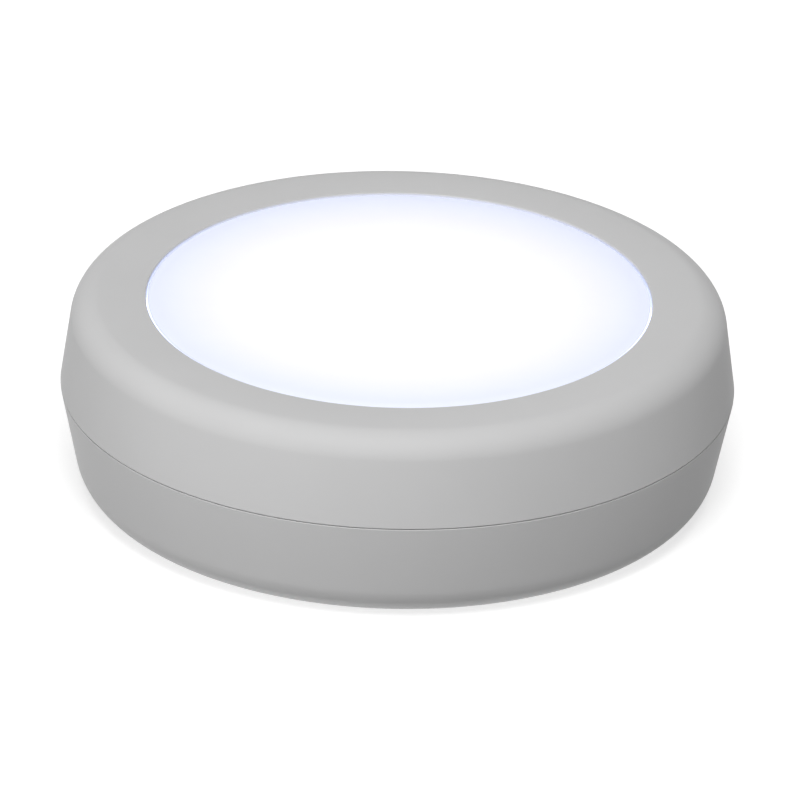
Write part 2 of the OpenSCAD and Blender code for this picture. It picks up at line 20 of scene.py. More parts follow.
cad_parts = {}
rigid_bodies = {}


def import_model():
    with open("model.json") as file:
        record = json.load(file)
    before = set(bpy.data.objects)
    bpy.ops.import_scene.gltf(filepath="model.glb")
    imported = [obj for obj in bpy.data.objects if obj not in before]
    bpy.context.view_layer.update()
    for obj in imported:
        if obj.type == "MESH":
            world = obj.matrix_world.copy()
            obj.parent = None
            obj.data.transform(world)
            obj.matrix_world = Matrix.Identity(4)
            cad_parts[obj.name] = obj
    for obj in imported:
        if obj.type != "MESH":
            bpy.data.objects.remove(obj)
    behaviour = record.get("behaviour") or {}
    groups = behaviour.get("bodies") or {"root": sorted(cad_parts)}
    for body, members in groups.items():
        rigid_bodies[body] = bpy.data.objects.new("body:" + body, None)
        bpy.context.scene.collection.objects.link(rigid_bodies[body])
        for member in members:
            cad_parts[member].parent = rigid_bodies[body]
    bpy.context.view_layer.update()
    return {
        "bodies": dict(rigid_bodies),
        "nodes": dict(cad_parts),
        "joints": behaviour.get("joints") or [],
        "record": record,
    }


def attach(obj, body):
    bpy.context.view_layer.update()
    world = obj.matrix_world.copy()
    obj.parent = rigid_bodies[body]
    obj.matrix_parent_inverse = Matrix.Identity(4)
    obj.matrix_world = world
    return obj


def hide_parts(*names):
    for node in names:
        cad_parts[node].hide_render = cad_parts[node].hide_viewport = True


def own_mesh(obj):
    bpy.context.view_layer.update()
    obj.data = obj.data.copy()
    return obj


Point = tuple[float, float]
Outline = list[Point]
Colour = tuple[float, float, float]
Socket = bpy.types.NodeSocket
Inputs = dict[str | int, Socket | Sequence[float] | float]

MM = 0.001
SHARP = math.radians(32)  # an edge that turns by more is shaded sharp
BITE = 0.5  # how far a solid that is joined or cut reaches into the other
END_CUTS = ((0.15, 0.85), (0.25, 0.55))  # place and radius of a bar's last rings, in its radii
MIX_A, MIX_B, MIX_OUT = 6, 7, 2  # colour sockets of a Mix node, whose names aren't their own
WAVES = math.tau / 20  # scale at which a wave texture has one wave to a unit

log = logging.getLogger("puck_light")


class Body(Enum):
    """The CAD bodies that new pieces ride on."""

    BASE = "base"
    HEAD = "head"
    LENS = "lens"


class Slot(Enum):
    """Names of the record's material slots."""

    GREY = "grey_abs"
    DIFFUSER = "lit_diffuser"
    SPRING = "spring_steel"
    LAMP = "led_yellow"
    RESISTOR = "resistor_black"
    SLEEVE = "cell_sleeve"
    CONTACT = "contact_nickel"
    RED = "wire_red_pvc"
    BLACK = "wire_black_pvc"


class Operation(Enum):
    """The ways in which two solids are combined."""

    JOIN = "UNION"
    CUT = "DIFFERENCE"


class Steps(IntEnum):
    """Steps in a whole turn, by the size of the round form."""

    LARGE = 256
    MIDDLE = 96
    SMALL = 64
    TINY = 48


class Detail(Enum):
    """How much finer noise a noise holds."""

    COARSE = 2.0
    FINE = 3.0


# Outlines


def arc(centre: Point, radius: float, start: float, end: float, steps: int = 12) -> Outline:
    """Makes the points of an arc.

    Args:
        centre: Centre of the arc.
        radius: Radius of the arc.
        start: Angle of the first point, in degrees.
        end: Angle of the last point, in degrees.
        steps: Number of straight steps.

    Returns:
        The points in order, both ends included.
    """
    angles = (math.radians(start + (end - start) * i / steps) for i in range(steps + 1))
    return [
        (centre[0] + radius * math.cos(a), centre[1] + radius * math.sin(a)) for a in angles
    ]


def dome(radius: float, height: float, drop: float, steps: int = 24) -> Outline:
    """Makes the profile of a shallow dome.

    Args:
        radius: Radius at which the dome ends.
        height: Height of the dome on the axis.
        drop: How far the dome has fallen at its edge.
        steps: Number of straight steps.

    Returns:
        The points from the axis out to the edge.
    """
    shares = (i / steps for i in range(steps + 1))
    return [(radius * s, height - drop * s * s) for s in shares]


def rectangle(r_low: float, r_high: float, z_low: float, z_high: float) -> Outline:
    """Makes an upright rectangle.

    Args:
        r_low: Inner radius.
        r_high: Outer radius.
        z_low: Lower height.
        z_high: Upper height.

    Returns:
        The four corners in order.
    """
    return [(r_low, z_low), (r_high, z_low), (r_high, z_high), (r_low, z_high)]


def pin(radius: float, z_low: float, z_high: float, edge: float = 0.0) -> Outline:
    """Makes the profile of a round pin.

    Args:
        radius: Radius of the pin.
        z_low: Height of its lower face.
        z_high: Height of its upper face.
        edge: Radius on the edge of the upper face.

    Returns:
        The points from the axis at the bottom round to the axis at the top.
    """
    top = [(radius, z_high)]
    if edge:
        top = arc((radius - edge, z_high - edge), edge, 0, 90, steps=4)
    return [(0, z_low), (radius, z_low), *top, (0, z_high)]


# Solids


class Solid:
    """A closed mesh in millimetres, worked on before it becomes part of a piece."""

    def __init__(self, shape: bmesh.types.BMesh) -> None:
        """Takes over a bmesh, turns its faces outwards and frees it.

        Args:
            shape: The closed shape.
        """
        bmesh.ops.recalc_face_normals(shape, faces=shape.faces)
        self.mesh = bpy.data.meshes.new("solid")
        shape.to_mesh(self.mesh)
        shape.free()

    @classmethod
    def turned(
        cls,
        outline: Outline,
        start: float = 0.0,
        sweep: float = 360.0,
        steps: int = Steps.LARGE,
    ) -> "Solid":
        """Turns an outline of radius and height about the Z axis.

        Args:
            outline: The outline, closed from its last point to its first.
            start: Angle at which the turn starts, in degrees.
            sweep: Angle of the turn, in degrees.
            steps: Number of steps in a whole turn.

        Returns:
            The turned solid, with flat ends where it is less than a whole turn.
        """
        whole = sweep >= 360
        count = steps if whole else max(2, round(steps * sweep / 360))
        columns = count if whole else count + 1
        turns = [math.radians(start + sweep * i / count) for i in range(columns)]
        shape = bmesh.new()
        rings = []
        for radius, height in outline:
            if radius > 0:
                ring = [
                    shape.verts.new((radius * math.cos(t), radius * math.sin(t), height))
                    for t in turns
                ]
            else:
                ring = [shape.verts.new((0, 0, height))] * columns
            rings.append(ring)
        for low, high in zip(rings, rings[1:] + rings[:1]):
            for i in range(count):
                j = (i + 1) % columns
                corners = list(dict.fromkeys((low[i], low[j], high[j], high[i])))
                if len(corners) > 2:
                    shape.faces.new(corners)
        if not whole:
            for end in (0, -1):
                shape.faces.new([ring[end] for ring in rings])
        return cls(shape)

    @classmethod
    def block(cls, low: Sequence[float], high: Sequence[float], edge: float = 0.0) -> "Solid":
        """Makes a block with softened edges.

        Args:
            low: Lowest corner.
            high: Highest corner.
            edge: Width of the softening, or 0 for sharp edges.

        Returns:
            The block.
        """
        low, high = Vector(low), Vector(high)
        shape = bmesh.new()
        place = Matrix.Translation((low + high) / 2) @ Matrix.Diagonal((*(high - low), 1))
        bmesh.ops.create_cube(shape, size=1, matrix=place)
        if edge:
            bmesh.ops.bevel(
                shape, geom=shape.edges[:], offset=edge, segments=3, affect="EDGES", profile=0.5
            )
        return cls(shape)

    @classmethod
    def rib(cls, outline: Outline, low: float, high: float) -> "Solid":
        """Extrudes an outline of radius and height sideways, in the plane of the X and Z axes.

        Args:
            outline: The outline, closed from its last point to its first.
            low: Lower side along Y.
            high: Upper side along Y.

        Returns:
            The rib.
        """
        shape = bmesh.new()
        sides = [[shape.verts.new((x, y, z)) for x, z in outline] for y in (low, high)]
        shape.faces.new(sides[0])
        shape.faces.new(sides[1])
        for i in range(len(outline)):
            j = (i + 1) % len(outline)
            shape.faces.new((sides[0][i], sides[0][j], sides[1][j], sides[1][i]))
        return cls(shape)

    @classmethod
    def swept(cls, path: Sequence[Vector], radius: float, sides: int) -> "Solid":
        """Sweeps a round bar along a path, with rounded ends.

        Args:
            path: Points on the middle line.
            radius: Radius of the bar.
            sides: Number of points round the bar.

        Returns:
            The bar.
        """
        ways = [
            (path[min(i + 1, len(path) - 1)] - path[max(i - 1, 0)]).normalized()
            for i in range(len(path))
        ]
        side = ways[0].orthogonal().normalized()
        shape = bmesh.new()
        rings = []
        last = len(path) - 1
        for i, (point, way) in enumerate(zip(path, ways)):
            side = (side - side.dot(way) * way).normalized()
            up = way.cross(side)
            cuts = [(0.0, 1.0)]
            if i == 0:
                cuts = [(-along, share) for along, share in reversed(END_CUTS)] + cuts
            elif i == last:
                cuts += END_CUTS
            for along, share in cuts:
                centre = point + way * radius * along
                rings.append([
                    shape.verts.new(
                        centre
                        + radius * share * (math.cos(a) * side + math.sin(a) * up)
                    )
                    for a in (math.tau * k / sides for k in range(sides))
                ])
        for low, high in zip(rings, rings[1:]):
            for k in range(sides):
                n = (k + 1) % sides
                shape.faces.new((low[k], low[n], high[n], high[k]))
        shape.faces.new(rings[0])
        shape.faces.new(rings[-1])
        return cls(shape)

    def placed(self, *steps: Matrix) -> "Solid":
        """Moves the solid by the given matrices, the last one first, and returns it.

        Args:
            *steps: Matrices, in the order in which they are written.

        Returns:
            The same solid.
        """
        place = Matrix.Identity(4)
        for step in steps:
            place = place @ step
        self.mesh.transform(place)
        return self

    def join(self, others: Iterable["Solid"]) -> "Solid":
        """Joins other solids to this one and returns it."""
        return self._combine(others, Operation.JOIN)

    def cut(self, others: Iterable["Solid"]) -> "Solid":
        """Cuts other solids out of this one and returns it."""
        return self._combine(others, Operation.CUT)

    def _combine(self, others: Iterable["Solid"], operation: Operation) -> "Solid":
        """Combines this solid with others, one after the other.

        Args:
            others: The other solids, which are used up.
            operation: How they are combined.

        Returns:
            The same solid.
        """
        for other in others:
            target, tool = (
                bpy.data.objects.new("work", solid.mesh) for solid in (self, other)
            )
            for item in (target, tool):
                bpy.context.scene.collection.objects.link(item)
            modifier = target.modifiers.new("combine", "BOOLEAN")
            modifier.operation = operation.value
            modifier.solver = "MANIFOLD"
            modifier.object = tool
            view = bpy.context.evaluated_depsgraph_get()
            combined = bpy.data.meshes.new_from_object(target.evaluated_get(view))
            for item in (target, tool):
                bpy.data.objects.remove(item)
            for mesh in (self.mesh, other.mesh):
                bpy.data.meshes.remove(mesh)
            self.mesh = combined
        return self


def about_z(angle: float) -> Matrix:
    """Makes a turn about the Z axis by an angle in degrees."""
    return Matrix.Rotation(math.radians(angle), 4, "Z")


def shift(x: float, y: float, z: float) -> Matrix:
    """Makes a move by the given distances."""
    return Matrix.Translation((x, y, z))


# Finishes


class Nodes:
    """A node tree, built up one node at a time."""

    def __init__(self, tree: bpy.types.NodeTree) -> None:
        """Takes over a node tree."""
        self.tree = tree

    def add(self, kind: str, inputs: Inputs, **settings: str) -> bpy.types.Node:
        """Adds a node.

        Args:
            kind: What follows ShaderNode in Blender's name for the kind of node.
            inputs: A value or an output for each named or numbered input.
            **settings: The node's own settings.

        Returns:
            The node.
        """
        node = self.tree.nodes.new(f"ShaderNode{kind}")
        for name, value in settings.items():
            setattr(node, name, value)
        self.feed(node, inputs)
        return node

    def feed(self, node: bpy.types.Node, inputs: Inputs) -> None:
        """Sets or links a node's inputs.

        Args:
            node: The node.
            inputs: A value or an output for each named or numbered input.
        """
        for name, value in inputs.items():
            socket = node.inputs[name]
            if isinstance(value, Socket):
                self.tree.links.new(value, socket)
            elif socket.type == "RGBA":
                socket.default_value = (*value[:3], 1)
            else:
                socket.default_value = value

    def math(self, operation: str, first: Socket, second: Socket) -> Socket:
        """Works out one output from two by a named operation, and returns it."""
        return self.add("Math", {0: first, 1: second}, operation=operation).outputs["Value"]

    def ramp(self, factor: Socket, stops: Sequence[tuple[float, Colour]]) -> Socket:
        """Adds a colour ramp.

        Args:
            factor: Output that drives the ramp.
            stops: Position and colour of each stop, in order.

        Returns:
            The ramp's colour output.
        """
        node = self.add("ValToRGB", {"Fac": factor})
        elements = node.color_ramp.elements
        while len(elements) < len(stops):
            elements.new(0.5)
        for element, (position, colour) in zip(elements, stops):
            element.position = position
            element.color = (*colour, 1)
        return node.outputs["Color"]

    def tint(self, factor: Socket, colour: Colour, low: float, high: float = 1.0) -> Socket:
        """Adds a ramp from one tint of a colour to another.

        Args:
            factor: Output that drives the ramp.
            colour: The colour.
            low: Factor on the colour at the start of the ramp.
            high: Factor on the colour at its end.

        Returns:
            The ramp's colour output.
        """
        return self.ramp(factor, [(0.0, tinted(colour, low)), (1.0, tinted(colour, high))])

    def span(
        self,
        value: Socket,
        low: float = 0.0,
        high: float = 1.0,
        start: float = 0.3,
        end: float = 0.7,
    ) -> Socket:
        """Spreads a value over a range, and stops at its ends.

        Args:
            value: The output to spread.
            low: Result at the start.
            high: Result at the end.
            start: Value at the start, by default where noise begins.
            end: Value at the end, by default where noise stops.

        Returns:
            The spread output.
        """
        ends = {"From Min": start, "From Max": end, "To Min": low, "To Max": high}
        return self.add("MapRange", {"Value": value, **ends}).outputs["Result"]

    def seen(self) -> Socket:
        """Tells what is seen straight, in gloss or through glass from what only lights.

        Returns:
            An output that is 1 where it is seen and 0 where it lights.
        """
        paths = self.add("LightPath", {}).outputs
        camera, gloss, glass = (
            paths[f"Is {kind} Ray"] for kind in ("Camera", "Glossy", "Transmission")
        )
        return self.math("MAXIMUM", self.math("MAXIMUM", camera, gloss), glass)


class MaterialNodes(Nodes):
    """A new material's node tree."""

    def __init__(self, name: str) -> None:
        """Makes the material and finds its shader.

        Args:
            name: Name of the material.
        """
        self.material = bpy.data.materials.new(name)
        self.material.use_nodes = True
        super().__init__(self.material.node_tree)
        self.shader = self.tree.nodes["Principled BSDF"]
        self.place = self.add("TexCoord", {}).outputs["Object"]

    def shade(self, **inputs: Socket | Colour | float) -> None:
        """Feeds the shader, whose inputs are named with _ for each space."""
        self.feed(self.shader, {name.replace("_", " "): v for name, v in inputs.items()})

    def vector(self, operation: str, first: Socket, second: Sequence[float]) -> Socket:
        """Works out a vector from an output and a fixed vector.

        Args:
            operation: Blender's name for what is done.
            first: The output.
            second: The fixed vector.

        Returns:
            The vector output.
        """
        node = self.add("VectorMath", {0: first, 1: second}, operation=operation)
        return node.outputs["Vector"]

    def noise(
        self, size: float, detail: Detail = Detail.FINE, place: Socket | None = None
    ) -> Socket:
        """Adds noise.

        Args:
            size: Size of its forms, in millimetres.
            detail: How much finer noise it holds.
            place: Output that gives the place, or None for the piece's own space.

        Returns:
            The noise's output.
        """
        scale = 1 / (size * MM)
        inputs = {"Vector": place or self.place, "Scale": scale, "Detail": detail.value}
        return self.add("TexNoise", inputs).outputs["Fac"]

    def relief(self, heights: Sequence[tuple[Socket, float]], strength: float) -> None:
        """Adds bumps under one another, and gives the last to the shader.

        Args:
            heights: Height output and depth in millimetres of each bump.
            strength: Strength of every bump.
        """
        normal = None
        for height, depth in heights:
            inputs = {"Height": height, "Distance": depth * MM, "Strength": strength}
            if normal:
                inputs["Normal"] = normal
            normal = self.add("Bump", inputs).outputs["Normal"]
        self.shade(Normal=normal)


def tinted(colour: Colour, factor: float) -> Colour:
    """Makes a colour lighter or darker by a factor."""
    return tuple(min(1.0, part * factor) for part in colour)


@dataclass(frozen=True)
class Finish:
    """What every finish has: a name, and a material that is made once."""

    name: str

    def material(self) -> bpy.types.Material:
        """Finds this finish's material, or makes it.

        Returns:
            The material.
        """
        if self.name not in bpy.data.materials:
            self.make(MaterialNodes(self.name))
        return bpy.data.materials[self.name]

    def make(self, nodes: MaterialNodes) -> None:
        """Builds a new material's nodes; each finish has its own way."""
        raise NotImplementedError


@dataclass(frozen=True)
class MouldedPlastic(Finish):
    """Moulded plastic with a fine grain, faint flow clouds, and a painted highlight that lightens
    its lips and other sharp edges.
    """

    colour: Colour
    roughness: float = 0.45
    gloss: float = 0.5
    grain: float = 0.22
    grain_depth: float = 0.004
    grain_strength: float = 0.35
    uneven: float = 0.04
    clouds: float = 14.0
    cloud_share: float = 0.012
    # Painted highlight on the edges: how much of it there is, how much lighter it is, and the
    # pointiness at which it starts.
    edge_highlight_share: float = 0.05
    edge_highlight_tint: float = 1.25
    edge_highlight_from: float = 0.47

    def make(self, nodes: MaterialNodes) -> None:
        """Builds the nodes of the plastic.

        Args:
            nodes: The new material's nodes.
        """
        grain = nodes.noise(self.grain, Detail.COARSE)
        cloud = nodes.span(nodes.noise(self.clouds, Detail.COARSE))
        # Painted highlight: edges that pointiness finds are mixed towards a lighter tint of the
        # colour.
        edge = nodes.add("NewGeometry", {}).outputs["Pointiness"]
        lip = nodes.span(edge, 0.0, self.edge_highlight_share, self.edge_highlight_from, 1 - self.edge_highlight_from)
        body = nodes.tint(cloud, self.colour, 1 - self.cloud_share, 1 + self.cloud_share)
        painted_edge_highlight = tinted(self.colour, self.edge_highlight_tint)
        mix = nodes.add("Mix", {"Factor": lip, MIX_A: body, MIX_B: painted_edge_highlight}, data_type="RGBA")
        nodes.shade(
            Base_Color=mix.outputs[MIX_OUT],
            Roughness=nodes.span(
                grain, self.roughness - self.uneven, self.roughness + self.uneven
            ),
            Specular_IOR_Level=self.gloss,
        )
        nodes.relief([(grain, self.grain_depth)], self.grain_strength)


@dataclass(frozen=True)
class LitDiffuser(Finish):
    """Milky plastic lit from below: white in the middle and pale blue towards its edge.

    Its rim, where the light leaves it sideways, is brighter and lights the gap round it.
    """

    edge_r: float = 31.3
    rim_w: float = 0.06
    rim_strength: float = 5.0
    stops: tuple[tuple[float, Colour], ...] = (
        (0.30, (0.50, 0.50, 0.50)),
        (0.60, (0.395, 0.385, 0.395)),
        (0.77, (0.314, 0.300, 0.345)),
        (0.90, (0.229, 0.243, 0.335)),
        (0.96, (0.189, 0.208, 0.325)),
        (1.00, (0.190, 0.212, 0.315)),
    )
    colour: Colour = (0.60, 0.62, 0.66)
    clouds: float = 5.0
    cloud_share: float = 0.01
    frost: float = 0.16
    frost_depth: float = 0.002
    frost_strength: float = 0.2
    roughness: tuple[float, float] = (0.30, 0.38)

    def make(self, nodes: MaterialNodes) -> None:
        """Builds the nodes of the lit plastic.

        Args:
            nodes: The new material's nodes.
        """
        flat = nodes.vector("MULTIPLY", nodes.place, (1, 1, 0))
        radius = nodes.add("VectorMath", {0: flat}, operation="LENGTH").outputs["Value"]
        edge, rim = self.edge_r * MM, (self.edge_r - self.rim_w) * MM
        cloud = nodes.span(nodes.noise(self.clouds, Detail.COARSE))
        frost = nodes.noise(self.frost, Detail.COARSE)
        nodes.shade(
            Base_Color=nodes.tint(
                cloud, self.colour, 1 - self.cloud_share, 1 + self.cloud_share
            ),
            Emission_Color=nodes.ramp(nodes.span(radius, 0.0, 1.0, 0.0, edge), self.stops),
            Emission_Strength=nodes.span(radius, 1.0, self.rim_strength, rim, edge),
            Roughness=nodes.span(frost, *self.roughness),
        )
        nodes.relief([(frost, self.frost_depth)], self.frost_strength)


@dataclass(frozen=True)
class WorkedMetal(Finish):
    """Plated or drawn metal with fine streaks and a little tarnish."""

    colour: Colour
    roughness: float
    streak: float
    stretch: tuple[float, float, float] = (1.0, 1.0, 8.0)
    uneven: tuple[float, float] = (-0.08, 0.10)
    streak_depth: float = 0.002
    streak_strength: float = 0.3
    tarnish: float = 2.2
    tarnish_tint: float = 0.86

    def make(self, nodes: MaterialNodes) -> None:
        """Builds the nodes of the metal.

        Args:
            nodes: The new material's nodes.
        """
        drawn = nodes.vector("MULTIPLY", nodes.place, self.stretch)
        streaks = nodes.noise(self.streak, place=drawn)
        tarnish = nodes.span(nodes.noise(self.tarnish))
        nodes.shade(
            Base_Color=nodes.tint(tarnish, self.colour, self.tarnish_tint),
            Metallic=1.0,
            Roughness=nodes.span(streaks, *(self.roughness + part for part in self.uneven)),
        )
        nodes.relief([(streaks, self.streak_depth)], self.streak_strength)


@dataclass(frozen=True)
class LampFilling(Finish):
    """The yellow filling of a white lamp, which glows when it is lit."""

    colour: Colour = (0.86, 0.62, 0.10)
    glow: tuple[Colour, Colour] = ((1.0, 0.90, 0.62), (1.0, 1.0, 0.9))
    strength: float = 0.6
    roughness: float = 0.3
    grain: float = 0.12
    grain_tint: float = 0.85
    grain_depth: float = 0.01
    grain_strength: float = 0.3

    def make(self, nodes: MaterialNodes) -> None:
        """Builds the nodes of the filling.

        Args:
            nodes: The new material's nodes.
        """
        grains = nodes.span(nodes.noise(self.grain, Detail.COARSE))
        nodes.shade(
            Base_Color=nodes.tint(grains, self.colour, self.grain_tint),
            Emission_Color=nodes.ramp(grains, list(zip((0.0, 1.0), self.glow))),
            Emission_Strength=self.strength,
            Roughness=self.roughness,
        )
        nodes.relief([(grains, self.grain_depth)], self.grain_strength)


@dataclass(frozen=True)
class BoardMask(Finish):
    """White lacquer over a board whose copper rings show through as faint raised tracks."""

    colour: Colour = (0.84, 0.85, 0.82)
    track_step: float = 3.6
    track_share: float = 0.62
    track_edge: float = 0.05
    track_h: float = 0.035
    track_tint: float = 0.93
    sheen: float = 0.6
    roughness: tuple[float, float] = (0.26, 0.36)
    peel: float = 0.3
    peel_depth: float = 0.003
    strength: float = 0.5

    def make(self, nodes: MaterialNodes) -> None:
        """Builds the nodes of the lacquer.

        Args:
            nodes: The new material's nodes.
        """
        waves = nodes.add(
            "TexWave",
            {"Vector": nodes.place, "Scale": WAVES / (self.track_step * MM)},
            wave_type="RINGS",
            rings_direction="Z",
        ).outputs["Fac"]
        share = self.track_share
        tracks = nodes.span(waves, 0.0, 1.0, share - self.track_edge, share)
        nodes.shade(
            Base_Color=nodes.tint(tracks, self.colour, self.track_tint),
            Roughness=nodes.span(nodes.noise(self.sheen), *self.roughness),
        )
        peel = nodes.noise(self.peel)
        nodes.relief([(tracks, self.track_h), (peel, self.peel_depth)], self.strength)


@dataclass(frozen=True)
class CellSleeve(Finish):
    """Shrunk sleeve of a cell: dark green, with a pale band at its positive end."""

    colour: Colour = (0.045, 0.16, 0.065)
    band: Colour = (0.62, 0.60, 0.52)
    band_from: float = 9.0
    band_edge: float = 0.05
    crease: float = 1.2
    crease_depth: float = 0.01
    crease_strength: float = 0.25
    roughness: tuple[float, float] = (0.22, 0.34)
    coat: float = 0.3

    def make(self, nodes: MaterialNodes) -> None:
        """Builds the nodes of the sleeve.

        Args:
            nodes: The new material's nodes.
        """
        along = nodes.add("SeparateXYZ", {0: nodes.place}).outputs["Z"]
        ends = ((self.band_from + side * self.band_edge) * MM for side in (-1, 1))
        zone = nodes.span(along, 0.0, 1.0, *ends)
        creases = nodes.noise(self.crease)
        nodes.shade(
            Base_Color=nodes.ramp(zone, [(0.0, self.band), (1.0, self.colour)]),
            Roughness=nodes.span(creases, *self.roughness),
            Coat_Weight=self.coat,
        )
        nodes.relief([(creases, self.crease_depth)], self.crease_strength)


@dataclass(frozen=True)
class FloorPaper(Finish):
    """White paper that the camera sees lifted to white, and that bounces less light.

    It isn't seen from below, and light passes it on its way to what stands just over it, so
    that the underside can be lit.
    """

    white: float = 0.55
    bounce: float = 0.45
    lift: float = 0.62
    near: float = 0.3
    far: float = 3.0
    tooth: float = 3.0
    roughness: tuple[float, float] = (0.85, 0.95)

    def make(self, nodes: MaterialNodes) -> None:
        """Builds the nodes of the paper.

        Args:
            nodes: The new material's nodes.
        """
        seen = nodes.seen()
        black, bounce, white, lift = (
            (level,) * 3 for level in (0.0, self.bounce, self.white, self.lift)
        )
        nodes.shade(
            Base_Color=nodes.ramp(seen, [(0.0, bounce), (1.0, white)]),
            Emission_Color=nodes.ramp(seen, [(0.0, black), (1.0, lift)]),
            Emission_Strength=1.0,
            Roughness=nodes.span(nodes.noise(self.tooth), *self.roughness),
            Specular_IOR_Level=0.0,
        )
        paths = nodes.add("LightPath", {}).outputs
        close = nodes.span(paths["Ray Length"], 1.0, 0.0, self.near * MM, self.far * MM)
        passes = nodes.math("SUBTRACT", close, paths["Is Camera Ray"])
        below = nodes.add("NewGeometry", {}).outputs["Backfacing"]
        clear = nodes.add("BsdfTransparent", {}).outputs["BSDF"]
        mix = nodes.add("MixShader", {
            0: nodes.math("MAXIMUM", passes, below), 1: nodes.shader.outputs["BSDF"], 2: clear
        })
        nodes.feed(nodes.tree.nodes["Material Output"], {"Surface": mix.outputs["Shader"]})


FLOOR = FloorPaper("floor_paper_white")
GREY_SHELL = MouldedPlastic("grey_satin_shell", (0.53, 0.53, 0.532), 0.42, 0.04)
DIFFUSER = LitDiffuser("lit_milky_lens")
WHITE_TRAY = MouldedPlastic("white_tray_plastic", (0.76, 0.76, 0.74), 0.5, grain=0.3)
REFLECTOR = MouldedPlastic("white_reflector_gloss", (0.88, 0.88, 0.87), 0.2, grain_depth=0.001)
LAMP_BODY = MouldedPlastic("lamp_body_white", (0.82, 0.81, 0.77), 0.4, grain=0.1)
LAMP_FILLING = LampFilling("lamp_filling_yellow")
BOARD = BoardMask("board_lacquer_white")
CERAMIC = MouldedPlastic("resistor_glaze_black", (0.018, 0.018, 0.02), 0.3, grain=0.12)
SWITCH = MouldedPlastic("switch_black_nylon", (0.02, 0.02, 0.022), 0.42, grain=0.12)
PLUNGER = MouldedPlastic("plunger_white_nylon", (0.78, 0.78, 0.75), 0.35, grain=0.15)
SLEEVE = CellSleeve("cell_sleeve_green")
SPRING_STEEL = WorkedMetal("spring_steel_drawn", (0.56, 0.57, 0.59), 0.25, 0.2)
SCREW_STEEL = WorkedMetal("screw_steel_plated", (0.60, 0.61, 0.63), 0.3, 0.4, (1, 1, 1))
NICKEL = WorkedMetal("contact_nickel_plate", (0.66, 0.62, 0.52), 0.24, 0.6, (1, 1, 6))
TIN = WorkedMetal("tin_solder", (0.62, 0.63, 0.64), 0.22, 0.5, (1, 1, 1))
RED_PVC = MouldedPlastic("wire_pvc_red", (0.48, 0.02, 0.018), 0.35, grain=0.2)
BLACK_PVC = MouldedPlastic("wire_pvc_black", (0.016, 0.016, 0.018), 0.35, grain=0.2)


# Pieces


def smooth(item: bpy.types.Object) -> None:
    """Shades a mesh smooth, apart from its sharp edges."""
    item.data.shade_smooth()
    item.data.set_sharp_from_angle(angle=SHARP)


def make_piece(
    name: str,
    body: Body,
    parts: Sequence[tuple[Solid, Finish]],
    replaces: str | None = None,
    spot: Matrix | None = None,
    own_space: Matrix | None = None,
) -> bpy.types.Object:
    """Makes one piece of solids and ties it to the frame.

    Args:
        name: Name of the piece.
        body: The body that it rides on.
        parts: The solids and their finishes, which the piece holds side by side.
        replaces: The CAD node that it stands for, or None.
        spot: Where the solids go in the piece's own space, or None where they are there.
        own_space: Where the piece's own space lies, or None for the frame's.

    Returns:
        The piece.
    """
    finishes = list(dict.fromkeys(finish for _, finish in parts))
    shape = bmesh.new()
    for solid, finish in parts:
        if spot:
            solid.placed(spot)
        known = len(shape.faces)
        shape.from_mesh(solid.mesh)
        bpy.data.meshes.remove(solid.mesh)
        shape.faces.ensure_lookup_table()
        for face in shape.faces[known:]:
            face.material_index = finishes.index(finish)
    mesh = bpy.data.meshes.new(name)
    shape.to_mesh(mesh)
    shape.free()
    mesh.transform(Matrix.Scale(MM, 4))
    for finish in finishes:
        mesh.materials.append(finish.material())
    item = bpy.data.objects.new(name, mesh)
    bpy.context.scene.collection.objects.link(item)
    if own_space:
        item.matrix_world = own_space
        item.matrix_world.translation *= MM
    smooth(item)
    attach(item, body.value)
    if replaces:
        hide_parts(replaces)
    return item


# Sub-assemblies


class Assembly:
    """A sub-assembly: its new pieces, and the CAD nodes whose shape is right and stays."""

    kept: ClassVar[dict[str, Finish]] = {}

    def build(self) -> list[bpy.types.Object]:
        """Builds the new pieces; each sub-assembly has its own."""
        raise NotImplementedError

    def dress(self, frame: dict) -> list[bpy.types.Object]:
        """Gives the CAD nodes that stay their finishes and smooth shading.


        Returns:
            The nodes.
        """
        nodes = []
        for name, finish in self.kept.items():
            node = frame["nodes"][name]
            node.data.materials.clear()
            node.data.materials.append(finish.material())
            smooth(node)
            nodes.append(node)
        return nodes


